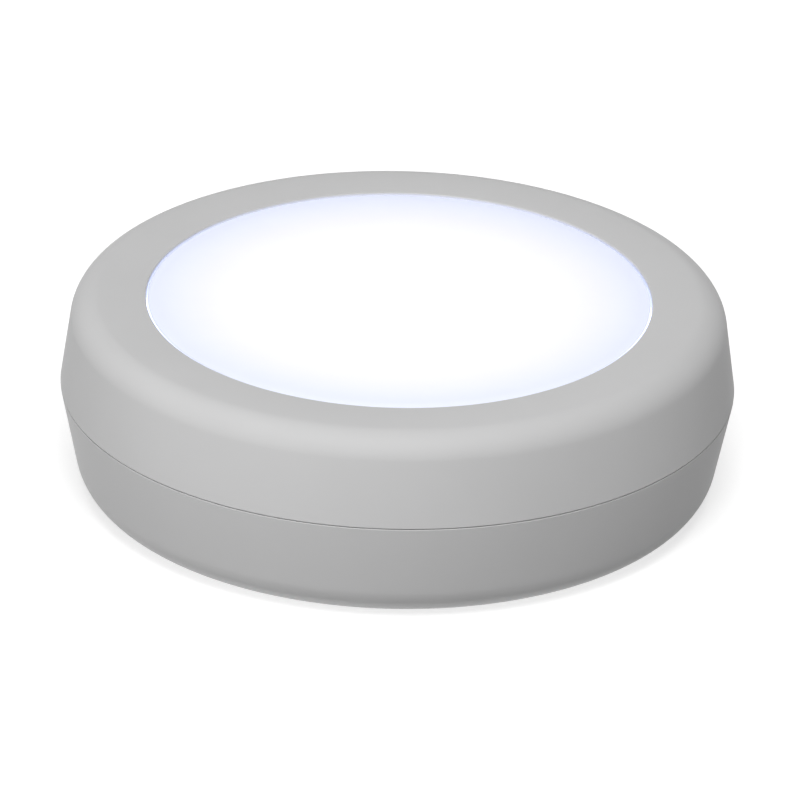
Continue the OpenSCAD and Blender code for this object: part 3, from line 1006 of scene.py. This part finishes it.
@dataclass(frozen=True)
class Case:
    """Sizes that the shells, the lens and its springs share."""

    radius: float = 42.0
    joint_z: float = 13.8
    top_z: float = 25.4
    wall: float = 1.8
    lower_draft: float = 12.0
    upper_draft: float = 7.5
    heel_round: float = 5.4
    shoulder_round: float = 3.6
    lip_round: float = 0.1
    seam_gap: float = 0.1
    seam_depth: float = 0.6
    opening_r: float = 31.5
    opening_round: float = 0.2
    lens_gap: float = 0.2
    skirt_gap: float = 0.3
    skirt_t: float = 1.4
    skirt_z: float = 7.0
    lug_z: float = 9.2
    lug_t: float = 1.4
    lug_angle: float = 20.0
    boss_ring_r: float = 35.6157
    boss_places: tuple[float, ...] = (90.0, 210.0, 330.0)
    ear_ring_r: float = 34.9157
    places: tuple[float, ...] = (30.0, 150.0, 270.0)

    @property
    def plate_z(self) -> float:
        """Underside of the top plate."""
        return self.top_z - self.wall

    @property
    def heel(self) -> Point:
        """Centre of the arc between the side and the underside."""
        rise = self.joint_z - self.heel_round
        return self._inset(rise, self.lower_draft, self.heel_round), self.heel_round

    @property
    def shoulder(self) -> Point:
        """Centre of the arc between the side and the top.

        Returns:
            Its radius and height.
        """
        height = self.top_z - self.shoulder_round
        rise = height - self.joint_z
        return self._inset(rise, self.upper_draft, self.shoulder_round), height

    def _inset(self, rise: float, draft: float, depth: float) -> float:
        """Finds a radius under the sloping side.

        Args:
            rise: Height above or below the joint between the shells.
            draft: Slope of the side, in degrees from upright.
            depth: Depth under the side, measured square to it.

        Returns:
            The radius.
        """
        slope = math.radians(draft)
        return self.radius - rise * math.tan(slope) - depth / math.cos(slope)

    def lower_inside(self, z: float) -> float:
        """Finds the inner radius of the lower shell at a height."""
        return self._inset(self.joint_z - z, self.lower_draft, self.wall)

    def upper_inside(self, z: float) -> float:
        """Finds the inner radius of the upper shell's side at a height."""
        return self._inset(z - self.joint_z, self.upper_draft, self.wall)

    def skirt_inside(self, z: float) -> float:
        """Finds the inner radius of the skirt at a height."""
        return self.lower_inside(z) - self.skirt_gap - self.skirt_t

    def upper_lip(self) -> Outline:
        """Makes the rounded lip of the upper shell at the joint.

        Returns:
            The points upwards.
        """
        lip = self.lip_round
        centre_r = self._inset(lip, self.upper_draft, lip)
        return arc((centre_r, self.joint_z + lip), lip, -90, self.upper_draft, steps=8)

    def lower_lip(self) -> Outline:
        """Makes the rounded lip of the lower shell and the shadow gap over it.

        Returns:
            The points upwards.
        """
        lip = self.lip_round
        gap_z = self.joint_z - self.seam_gap
        gap_r = self.radius - self.seam_depth
        centre_r = self._inset(self.seam_gap + lip, self.lower_draft, lip)
        return [
            *arc((centre_r, gap_z - lip), lip, -self.lower_draft, 90, steps=8),
            (gap_r, gap_z),
            (gap_r, self.joint_z),
        ]


@dataclass
class LowerShell(Assembly):
    """Lower shell with its pad recess, screw holes and lugs."""

    case: Case
    hole_places: tuple[float, float] = (-27.0, 27.0)
    hole_r: float = 1.9
    hole_lip: float = 0.2
    sink_r: float = 3.6
    boss_r: float = 4.6
    boss_h: float = 0.9
    boss_edge: float = 0.25
    pad_r: float = 20.0
    pad_depth: float = 0.4
    pad_lip: float = 0.15
    lug_reach: float = 0.2

    def build(self) -> list[bpy.types.Object]:
        """Builds the shell.

        Returns:
            The one piece.
        """
        shell = Solid.turned(self._profile())
        shell.join(self._boss(x) for x in self.hole_places)
        shell.cut(self._hole(x) for x in self.hole_places)
        shell.join(self._lug(a) for a in self.case.places)
        parts = [(shell, GREY_SHELL)]
        return [make_piece("lower_shell", Body.BASE, parts, "base_shell")]

    def _profile(self) -> Outline:
        """Makes the shell's profile.

        Returns:
            The points from the middle of the underside round to the middle of the floor.
        """
        case = self.case
        heel_r = case.heel_round
        lip = self.pad_lip
        return [
            (0, self.pad_depth),
            (self.pad_r, self.pad_depth),
            *arc((self.pad_r + lip, lip), lip, 180, 270, steps=4),
            *arc(case.heel, heel_r, -90, -case.lower_draft, steps=28),
            *case.lower_lip(),
            (case.lower_inside(case.joint_z), case.joint_z),
            *arc(case.heel, heel_r - case.wall, -case.lower_draft, -90, steps=20),
            (0, case.wall),
        ]

    def _boss(self, x: float) -> Solid:
        """Makes the boss round a screw hole.

        Args:
            x: Place of the hole.

        Returns:
            The boss.
        """
        wall = self.case.wall
        outline = pin(self.boss_r, wall / 2, wall + self.boss_h, self.boss_edge)
        return Solid.turned(outline, steps=Steps.MIDDLE).placed(shift(x, 0, 0))

    def _hole(self, x: float) -> Solid:
        """Makes what a screw hole takes out: a bore with a soft lip and a countersink.

        Args:
            x: Place of the hole.

        Returns:
            The solid to cut out.
        """
        top = self.case.wall + self.boss_h
        lip = self.hole_lip
        sink_h = self.sink_r - self.hole_r
        outline = [
            (0, -BITE),
            (self.hole_r + lip, -BITE),
            *arc((self.hole_r + lip, lip), lip, 270, 180, steps=4),
            (self.hole_r, top - sink_h),
            (self.sink_r, top),
            (self.sink_r, top + BITE),
            (0, top + BITE),
        ]
        return Solid.turned(outline, steps=Steps.MIDDLE).placed(shift(x, 0, 0))

    def _lug(self, angle: float) -> Solid:
        """Makes a lug of the twist lock.

        Args:
            angle: Its angle, in degrees.

        Returns:
            The lug, which reaches into the wall.
        """
        case = self.case
        low, high = case.lug_z, case.lug_z + case.lug_t
        in_r = case.skirt_inside(low) - self.lug_reach
        bevel = case.lug_t / 3
        outline = [
            (in_r + bevel, low),
            (case.lower_inside(low) + BITE, low),
            (case.lower_inside(high) + BITE, high),
            (in_r, high),
            (in_r, low + bevel),
        ]
        return Solid.turned(outline, angle - case.lug_angle / 2, case.lug_angle)


@dataclass
class UpperShell(Assembly):
    """Upper shell with its opening, slotted skirt, screw bosses and lens guides."""

    case: Case
    join_h: float = 1.2
    twist: float = 25.0
    slot_gap: float = 0.2
    slot_slack: float = 0.5
    boss_r: float = 2.0
    boss_z: float = 14.4
    pilot_r: float = 1.0
    pilot_top: float = 22.6
    rib_t: float = 1.0
    rib_z: float = 16.9
    guide_in_r: float = 34.1
    guide_z: float = 21.0
    guide_y: float = 2.6

    def build(self) -> list[bpy.types.Object]:
        """Builds the shell.

        Returns:
            The one piece.
        """
        shell = Solid.turned(self._profile())
        for angle in self.case.places:
            shell.cut(self._slot(angle))
            for side in (-1, 1):
                shell.join([self._guide(side).placed(about_z(angle))])
        for angle in self.case.boss_places:
            turn = about_z(angle)
            spot = turn @ shift(self.case.boss_ring_r, 0, 0)
            shell.join([self._boss().placed(spot), self._boss_rib().placed(turn)])
            shell.cut([self._pilot().placed(spot)])
        parts = [(shell, GREY_SHELL)]
        return [make_piece("upper_shell", Body.HEAD, parts, "bezel_shell")]

    def _profile(self) -> Outline:
        """Makes the shell's profile.

        Returns:
            The points from the joint up over the top, and down to the skirt.
        """
        case = self.case
        lip = case.opening_round
        joint, over = case.joint_z, case.joint_z + self.join_h
        round_r = case.shoulder_round
        return [
            *case.upper_lip(),
            *arc(case.shoulder, round_r, case.upper_draft, 90, steps=24),
            *arc((case.opening_r + lip, case.top_z - lip), lip, 90, 180, steps=6),
            (case.opening_r, case.plate_z),
            *arc(case.shoulder, round_r - case.wall, 90, case.upper_draft, steps=16),
            (case.upper_inside(over), over),
            (case.skirt_inside(joint), over),
            (case.skirt_inside(joint), joint),
            (case.skirt_inside(case.skirt_z), case.skirt_z),
            (case.skirt_inside(case.skirt_z) + case.skirt_t, case.skirt_z),
            (case.lower_inside(joint) - case.skirt_gap, joint),
        ]

    def _slot(self, angle: float) -> list[Solid]:
        """Makes what the slot for the lug at an angle takes out.

        Args:
            angle: Angle of the lug in the locked state.

        Returns:
            The level run and the way in from below.
        """
        case = self.case
        low_r = case.skirt_inside(case.skirt_z) - BITE
        high_r = case.lower_inside(case.joint_z) + BITE
        half = case.lug_angle / 2 + self.slot_slack
        lug_top = case.lug_z + case.lug_t
        start = angle - self.twist - half
        run = rectangle(low_r, high_r, case.lug_z - self.slot_gap, lug_top + self.slot_gap)
        way = rectangle(low_r, high_r, case.skirt_z - BITE, lug_top)
        return [
            Solid.turned(run, start, self.twist + 2 * half),
            Solid.turned(way, start, 2 * half),
        ]

    def _boss(self) -> Solid:
        """Makes a boss for one of the tray's screws, on the axis."""
        outline = pin(self.boss_r, self.boss_z, self.case.plate_z + BITE)
        return Solid.turned(outline, steps=Steps.SMALL)

    def _pilot(self) -> Solid:
        """Makes the pilot hole in a boss, on the axis."""
        outline = pin(self.pilot_r, self.boss_z - BITE, self.pilot_top)
        return Solid.turned(outline, steps=Steps.TINY)

    def _upright(self, in_r: float, low_z: float) -> Outline:
        """Makes the outline of a rib between the side and the top plate.

        Args:
            in_r: Radius of its inner edge.
            low_z: Height of its lower edge.

        Returns:
            The outline of radius and height.
        """
        plate_z = self.case.plate_z
        return [
            (in_r, low_z),
            (self.case.upper_inside(low_z) + BITE, low_z),
            (self.case.upper_inside(plate_z) + BITE, plate_z + BITE),
            (in_r, plate_z + BITE),
        ]

    def _boss_rib(self) -> Solid:
        """Makes the rib that ties a boss to the side."""
        outline = self._upright(self.case.boss_ring_r, self.rib_z)
        return Solid.rib(outline, -self.rib_t / 2, self.rib_t / 2)

    def _guide(self, side: int) -> Solid:
        """Makes the rib on one side of a lens ear, which keeps the lens from turning.

        Args:
            side: -1 or 1.

        Returns:
            The rib.
        """
        sides = sorted((side * self.guide_y, side * (self.guide_y + self.rib_t)))
        return Solid.rib(self._upright(self.guide_in_r, self.guide_z), *sides)


@dataclass
class Lens(Assembly):
    """Domed lens with its flange, spring ears and the boss that meets the switch."""

    case: Case
    thickness: float = 1.5
    crown: float = 0.1
    rim_w: float = 1.6
    rim_drop: float = 0.08
    rim_angle: float = 88.0
    edge: float = 0.2
    top_steps: int = 120
    flange_r: float = 33.5
    flange_z: float = 22.4
    notch_r: float = 2.4
    boss_r: float = 2.2
    boss_z: float = 21.4
    boss_edge: float = 0.3
    ear_r: float = 2.3
    peg_r: float = 0.85
    peg_h: float = 1.8
    peg_edge: float = 0.2

    @property
    def radius(self) -> float:
        """Radius of the lens in its opening."""
        return self.case.opening_r - self.case.lens_gap

    def build(self) -> list[bpy.types.Object]:
        """Builds the lens.

        Returns:
            The one piece.
        """
        case = self.case
        lens = Solid.turned(self._profile())
        notch = pin(self.notch_r, self.flange_z - BITE, case.plate_z + BITE)
        for angle in case.boss_places:
            spot = about_z(angle) @ shift(case.boss_ring_r, 0, 0)
            lens.cut([Solid.turned(notch, steps=Steps.SMALL).placed(spot)])
        edge = self.boss_edge
        foot = arc((self.boss_r - edge, self.boss_z + edge), edge, -90, 0, steps=4)
        over = case.top_z - self.thickness + BITE
        boss = [(0, self.boss_z), *foot, (self.boss_r, over), (0, over)]
        lens.join([Solid.turned(boss, steps=Steps.SMALL)])
        for angle in case.places:
            spot = about_z(angle) @ shift(case.ear_ring_r, 0, 0)
            lens.join(solid.placed(spot) for solid in self._ear())
        parts = [(lens, DIFFUSER)]
        return [make_piece("glowing_lens", Body.LENS, parts, "diffuser_lens")]

    def _profile(self) -> Outline:
        """Makes the lens's profile.

        Returns:
            The points from the middle of its top round to the middle of its underside.
        """
        case = self.case
        in_r = self.radius - self.thickness
        edge_r = self.radius - self.edge
        edge_z = case.top_z - self.crown - self.rim_drop
        rim_r = edge_r - self.rim_w
        top = [
            (r, z - self.rim_drop * max(0.0, (r - rim_r) / self.rim_w) ** 2)
            for r, z in dome(edge_r, case.top_z, self.crown, self.top_steps)
        ]
        return [
            *top,
            *arc((edge_r, edge_z - self.edge), self.edge, self.rim_angle, 0, steps=10),
            (self.radius, case.plate_z),
            (self.flange_r, case.plate_z),
            (self.flange_r, self.flange_z),
            (in_r, self.flange_z),
            *reversed(dome(in_r, case.top_z - self.thickness, self.crown)),
        ]

    def _ear(self) -> list[Solid]:
        """Makes an ear that stands on a spring, on the axis.

        Returns:
            The ear, its web and its peg.
        """
        low, high = self.flange_z, self.case.plate_z
        web = self.case.ear_ring_r - self.radius + self.case.lens_gap
        foot, edge = low - self.peg_h, self.peg_edge
        peg = [
            (0, foot),
            (self.peg_r - edge, foot),
            (self.peg_r, foot + edge),
            (self.peg_r, low + BITE),
            (0, low + BITE),
        ]
        return [
            Solid.turned(pin(self.ear_r, low, high), steps=Steps.SMALL),
            Solid.block((-web, -self.ear_r, low), (0, self.ear_r, high)),
            Solid.turned(peg, steps=Steps.TINY),
        ]


@dataclass
class Coil:
    """A spring wound of round wire, with a flat part of a turn at each end."""

    wire: float
    low_r: float
    high_r: float
    length: float
    turns: float
    flat: float = 0.5
    steps: int = 40
    sides: int = 14

    def solid(self) -> Solid:
        """Winds the spring upwards from z = 0.

        Returns:
            The wound wire.
        """
        path = []
        for i in range(round(self.turns * self.steps) + 1):
            turned = i / self.steps
            rise = min(1.0, max(0.0, (turned - self.flat) / (self.turns - 2 * self.flat)))
            radius = self.low_r + (self.high_r - self.low_r) * rise
            height = self.wire / 2 + (self.length - self.wire) * rise
            angle = math.tau * turned
            path.append(Vector((radius * math.cos(angle), radius * math.sin(angle), height)))
        return Solid.swept(path, self.wire / 2, self.sides)


@dataclass
class PressSprings(Assembly):
    """The three springs under the lens, each built at one fixed length."""

    case: Case
    low_z: float = 17.0
    coil: Coil = field(default_factory=lambda: Coil(0.4, 1.3, 1.3, 5.4, 5))
    travel: float = 0.8

    def build(self) -> list[bpy.types.Object]:
        """Builds the springs.

        Returns:
            The three pieces.
        """
        made = []
        for i, angle in enumerate(self.case.places, 1):
            item = make_piece(
                f"press_spring_{i}",
                Body.HEAD,
                [(self.coil.solid(), SPRING_STEEL)],
                f"lens_spring_{i}",
                about_z(angle) @ shift(self.case.ear_ring_r, 0, self.low_z),
            )
            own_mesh(item)
            made.append(item)
        return made


@dataclass(frozen=True)
class Chip:
    """A small chip between two metal ends, standing on z = 0, its length along Y."""

    width: float
    length: float
    height: float
    metal: float
    edge: float

    def body(self) -> Solid:
        """Makes the body between the ends."""
        return self._slab(self.metal - self.length / 2, self.length / 2 - self.metal)

    def ends(self) -> list[tuple[Solid, Finish]]:
        """Makes the two metal ends.

        Returns:
            Each end with its finish.
        """
        half = self.length / 2
        return [
            (self._slab(-half, self.metal - half), TIN),
            (self._slab(half - self.metal, half), TIN),
        ]

    def _slab(self, low: float, high: float) -> Solid:
        """Makes the stretch of the chip between two places along Y."""
        x = self.width / 2
        return Solid.block((-x, low, 0), (x, high, self.height), self.edge)


@dataclass
class LampBoard(Assembly):
    """The board with its lamps, resistors, switch and reflector."""

    kept: ClassVar[dict[str, Finish]] = {
        "led_board": BOARD,
        "board_screws": SCREW_STEEL,
        "reflector": REFLECTOR,
        "switch_body": SWITCH,
        "switch_cover": NICKEL,
        "switch_plunger": PLUNGER,
    }

    top_z: float = 17.0
    lamp_ring_r: float = 17.05
    lamp: Chip = Chip(2.8, 3.5, 0.8, 0.25, 0.06)
    lamp_count: int = 6
    well_r: float = 1.1
    well_depth: float = 0.15
    filling_gap: float = 0.02
    filling_crown: float = 0.05
    resistor_ring_r: float = 9.5
    resistor: Chip = Chip(1.6, 3.2, 0.6, 0.5, 0.08)
    resistor_angles: tuple[float, ...] = (30.0, 150.0, 270.0)
    switch_w: float = 6.0
    leg_y: float = 2.0
    leg_w: float = 0.7
    leg_t: float = 0.2
    leg_reach: float = 1.3
    leg_top: float = 1.1
    leg_shoulder: float = 1.5
    leg_heel: tuple[float, float] = (2.25, 1.4)

    def build(self) -> list[bpy.types.Object]:
        """Builds the lamps, the resistors and the switch's legs.

        Returns:
            The pieces.
        """
        made = [self._lamp(i) for i in range(self.lamp_count)]
        made += [self._resistor(i, angle) for i, angle in enumerate(self.resistor_angles, 1)]
        return [*made, self._switch_legs()]

    def _lamp(self, i: int) -> bpy.types.Object:
        """Builds one lamp: a white body, a yellow filling in its well and two metal ends.

        Args:
            i: Number of the lamp, from 0.

        Returns:
            The piece.
        """
        top, gap = self.lamp.height, self.filling_gap
        floor = top - self.well_depth
        body = self.lamp.body()
        well = [(0, floor), (self.well_r, floor), (self.well_r + gap, top + BITE), (0, top + BITE)]
        body.cut([Solid.turned(well, steps=Steps.TINY)])
        crown = dome(self.well_r - gap, top - gap, self.filling_crown, steps=8)
        filling = Solid.turned([*crown, (self.well_r - gap, floor), (0, floor)], steps=Steps.TINY)
        return make_piece(
            f"lamp_{i + 1}",
            Body.HEAD,
            [(body, LAMP_BODY), (filling, LAMP_FILLING), *self.lamp.ends()],
            f"led_{i + 1}",
            about_z(360 / self.lamp_count * i) @ shift(self.lamp_ring_r, 0, self.top_z),
        )

    def _resistor(self, i: int, angle: float) -> bpy.types.Object:
        """Builds one resistor: a glazed body between two metal ends.

        Args:
            i: Number of the resistor, from 1.
            angle: Its angle on the board, in degrees.

        Returns:
            The piece.
        """
        return make_piece(
            f"chip_resistor_{i}",
            Body.HEAD,
            [(self.resistor.body(), CERAMIC), *self.resistor.ends()],
            f"resistor_{i}",
            about_z(angle) @ shift(self.resistor_ring_r, 0, self.top_z),
        )

    def _switch_legs(self) -> bpy.types.Object:
        """Builds the four bent legs that hold the switch to the board.

        Returns:
            The piece.
        """
        edge, low, high = self.switch_w / 2, self.top_z, self.top_z + self.leg_top
        thick, (heel_out, heel_up) = self.leg_t, self.leg_heel
        outline = [
            (edge, high),
            (edge + self.leg_shoulder * thick, high),
            (edge + heel_out * thick, low + heel_up * thick),
            (edge + self.leg_reach, low + thick),
            (edge + self.leg_reach, low),
            (edge + thick, low),
        ]
        legs = []
        for turn in (0, 180):
            for y in (-self.leg_y, self.leg_y):
                leg = Solid.rib(outline, y - self.leg_w / 2, y + self.leg_w / 2)
                legs.append((leg.placed(about_z(turn)), TIN))
        return make_piece("switch_legs", Body.HEAD, legs)


@dataclass
class CellTray(Assembly):
    """The tray with its three cells, their springs and contacts, and the two wires."""

    kept: ClassVar[dict[str, Finish]] = {
        "battery_tray": WHITE_TRAY,
        "tray_screws": SCREW_STEEL,
        "contact_positive": NICKEL,
        "contact_negative": NICKEL,
        "contact_jumper_a": NICKEL,
        "contact_jumper_b": NICKEL,
    }

    cell_r: float = 5.25
    cell_l: float = 44.5
    pitch: float = 11.5
    cell_z: float = 7.55
    plus_y: float = 23.95
    seat_y: float = 24.35
    button_r: float = 1.9
    button_h: float = 1.0
    button_edge: float = 0.35
    root_r: float = 0.15
    core_r: float = 4.1
    core_edge: float = 0.5
    core_bevel: float = 0.1
    core_rise: float = 0.05
    sleeve_edge: float = 0.6
    bead_z: float = 2.6
    bead_w: float = 1.6
    bead_floor: float = 0.7
    bead_depth: float = 0.12
    spring: Coil = field(default_factory=lambda: Coil(0.5, 3.4, 2.2, 3.8, 3.5))
    wire_r: float = 0.45
    wire_core: float = 0.55
    tab_top: float = 15.8
    board_z: float = 16.0
    wire_run: float = 5.4
    pad_r: float = 21.55
    wire_gap: float = 0.05
    wire_steps: int = 48
    wire_sides: int = 20
    bare_steps: int = 3
    core_sides: int = 12

    def build(self) -> list[bpy.types.Object]:
        """Builds the cells, their springs and the wires.

        Returns:
            The pieces.
        """
        made = []
        for i, way in enumerate((1, -1, 1)):
            made += [self._cell(i, way), self._spring(i, way)]
        for wire in (("red", 0.0, RED_PVC, Slot.RED), ("black", 180.0, BLACK_PVC, Slot.BLACK)):
            made.append(self._wire(*wire))
        return made

    def _along_y(self, i: int, y: float, way: int) -> Matrix:
        """Finds where something on a cell's axis lies.

        Args:
            i: Number of the cell, from 0.
            y: Place along Y.
            way: 1 or -1, the way along Y that its own Z axis points.

        Returns:
            The place.
        """
        turn = Matrix.Rotation(math.radians(-90 * way), 4, "X")
        return shift((i - 1) * self.pitch, y, self.cell_z) @ turn

    def _cell(self, i: int, way: int) -> bpy.types.Object:
        """Builds one cell: a steel can with its button, in a shrunk sleeve.

        Args:
            i: Number of the cell, from 0.
            way: 1 or -1, the way along Y that its button points.

        Returns:
            The piece, whose own Z axis runs from the button to the flat end.
        """
        button, root, core = self.button_r, self.root_r, self.core_r
        edge, shoulder = self.button_edge, self.button_h + self.core_rise
        can = Solid.turned([
            (0, 0),
            *arc((button - edge, edge), edge, -90, 0, steps=6),
            (button, self.button_h - root),
            *arc((button + root, shoulder - root), root, 180, 90, steps=4),
            (core, shoulder),
            (core, self.cell_l - self.core_bevel),
            (core - self.core_edge, self.cell_l),
            (0, self.cell_l),
        ], steps=Steps.MIDDLE)
        edge, full = self.sleeve_edge, self.cell_r
        low, high = self.button_h + edge, self.cell_l - edge
        bead, half = low + self.bead_z, self.bead_w / 2
        slim, flat = full - self.bead_depth, self.bead_floor / 2
        sleeve = Solid.turned([
            *arc((full - edge, low), edge, -90, 0, steps=8),
            (full, bead - half),
            (slim, bead - flat),
            (slim, bead + flat),
            (full, bead + half),
            *arc((full - edge, high), edge, 0, 90, steps=8),
            (core, self.cell_l),
            (core, self.button_h),
        ], steps=Steps.MIDDLE)
        return make_piece(
            f"cell_{i + 1}",
            Body.HEAD,
            [(sleeve, SLEEVE), (can, NICKEL)],
            f"battery_{i + 1}",
            own_space=self._along_y(i, way * self.plus_y, -way),
        )

    def _spring(self, i: int, way: int) -> bpy.types.Object:
        """Builds the coned spring at a cell's flat end.

        Args:
            i: Number of the cell, from 0.
            way: 1 or -1, the way along Y that the cell's button points.

        Returns:
            The piece.
        """
        return make_piece(
            f"cell_spring_{i + 1}",
            Body.HEAD,
            [(self.spring.solid(), SPRING_STEEL)],
            f"battery_spring_{i + 1}",
            self._along_y(i, -way * self.seat_y, way),
        )

    def _wire(self, name: str, turn: float, finish: Finish, slot: Slot) -> bpy.types.Object:
        """Builds a wire from its contact's tab to its pad under the board.

        Args:
            name: Colour in the wire's name.
            turn: Turn about the axis, in degrees.
            finish: Finish of its insulation.
            slot: The record's slot of its insulation; not used.

        Returns:
            The piece.
        """
        tab = Vector((-self.pitch, self.seat_y, 0))
        pad = tab.normalized() * min(tab.length - self.wire_run, self.pad_r)
        start = tab + Vector((0, 0, self.tab_top - self.wire_r - 2 * self.wire_gap))
        end = pad + Vector((0, 0, self.board_z - self.wire_r - self.wire_gap))
        reach = (pad - tab).length / 3
        near = start - Vector((0, reach, 0))
        far = end + reach * pad.normalized()
        path = []
        for i in range(self.wire_steps + 1):
            t = i / self.wire_steps
            u = 1 - t
            path.append(u**3 * start + 3 * u * u * t * near + 3 * u * t * t * far + t**3 * end)
        bare, core_r = self.bare_steps, self.wire_r * self.wire_core
        ends = (path[:2 * bare], path[-2 * bare:])
        cores = [(Solid.swept(part, core_r, self.core_sides), TIN) for part in ends]
        insulation = Solid.swept(path[bare:-bare], self.wire_r, self.wire_sides)
        parts = [(insulation, finish), *cores]
        return make_piece(f"lead_{name}", Body.HEAD, parts, f"wire_{name}", about_z(turn))


# Studio


@dataclass(frozen=True)
class SoftBox:
    """A square soft lamp that faces the puck light."""

    name: str
    azimuth: float
    elevation: float
    power: float
    width: float = 0.6
    distance: float = 1.2

    def place(self, target: Vector) -> None:
        """Hangs the lamp so that it faces the target.

        Args:
            target: What it faces, in metres.
        """
        turn, lift = math.radians(self.azimuth), math.radians(self.elevation)
        away = Vector((
            math.sin(turn) * math.cos(lift),
            -math.cos(turn) * math.cos(lift),
            math.sin(lift),
        ))
        lamp = bpy.data.lights.new(self.name, "AREA")
        lamp.shape = "SQUARE"
        lamp.size = self.width
        lamp.energy = self.power
        item = bpy.data.objects.new(self.name, lamp)
        item.location = target + away * self.distance
        item.rotation_euler = away.to_track_quat("Z", "Y").to_euler()
        item.visible_camera = False
        bpy.context.scene.collection.objects.link(item)


@dataclass
class Studio:
    """Pale floor, soft light and a camera at the photograph's viewing angle."""

    target: Vector = field(default_factory=lambda: Vector((0, 0, 0.0138)))
    ambient: float = 0.04
    floor_half: float = 8.0
    floor_drop: float = 0.00005
    elevation: float = 25.34
    distance: float = 2.4066
    lens: float = 869.0
    roll: float = 1.2376
    aside: tuple[float, float] = (0.000326, -0.0021)
    lamps: tuple[SoftBox, ...] = (
        SoftBox("key", 0.0, 60.0, 11.3),
        SoftBox("front_fill", 0.0, 30.0, 2.6),
        SoftBox("left_fill", -70.0, 10.0, 5.9),
        SoftBox("right_fill", 70.0, 30.0, 0.9),
        SoftBox("back_fill", 180.0, 50.0, 2.2),
        SoftBox("under_fill", 0.0, -60.0, 8.5),
    )

    def build(self) -> None:
        """Sets up the whole studio."""
        self._floor()
        self._world()
        for lamp in self.lamps:
            lamp.place(self.target)
        self._camera()
        bpy.context.scene.view_settings.view_transform = "Standard"

    def _floor(self) -> None:
        """Lays the floor."""
        shape = bmesh.new()
        bmesh.ops.create_grid(shape, x_segments=4, y_segments=4, size=self.floor_half)
        mesh = bpy.data.meshes.new("floor")
        shape.to_mesh(mesh)
        shape.free()
        mesh.materials.append(FLOOR.material())
        floor = bpy.data.objects.new("floor", mesh)
        floor.location.z = -self.floor_drop
        bpy.context.scene.collection.objects.link(floor)

    def _world(self) -> None:
        """Lights the world evenly, and shows it as white to the camera and in gloss."""
        world = bpy.data.worlds.new("studio")
        bpy.context.scene.world = world
        world.use_nodes = True
        nodes = Nodes(world.node_tree)
        strength = nodes.span(nodes.seen(), self.ambient, 1.0, 0.0, 1.0)
        background = world.node_tree.nodes["Background"]
        nodes.feed(background, {"Color": (1, 1, 1), "Strength": strength})

    def _camera(self) -> None:
        """Stands the camera where the photograph was taken from."""
        lift = math.radians(self.elevation)
        away = Vector((0, -math.cos(lift), math.sin(lift)))
        facing = away.to_track_quat("Z", "Y").to_matrix().to_4x4()
        facing @= Matrix.Rotation(math.radians(self.roll), 4, "Z")
        camera = bpy.data.cameras.new("camera")
        camera.lens = self.lens
        item = bpy.data.objects.new("camera", camera)
        aside = facing.to_3x3() @ Vector((*self.aside, 0))
        item.matrix_world = Matrix.Translation(self.target + away * self.distance + aside) @ facing
        bpy.context.scene.collection.objects.link(item)
        bpy.context.scene.camera = item


def main() -> None:
    """Loads the frame and builds the puck light round it, then the studio."""
    logging.basicConfig(level=logging.INFO, format="%(name)s: %(message)s")
    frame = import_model()
    case = Case()
    assemblies = (
        LowerShell(case), UpperShell(case), Lens(case), PressSprings(case), LampBoard(), CellTray()
    )
    for assembly in assemblies:
        kind = type(assembly).__name__
        for piece in assembly.build():
            log.info("%s: built %s, %d faces", kind, piece.name, len(piece.data.polygons))
        for node in assembly.dress(frame):
            log.info("%s: dressed %s", kind, node.name)
    Studio().build()


if __name__ == "__main__":
    main()
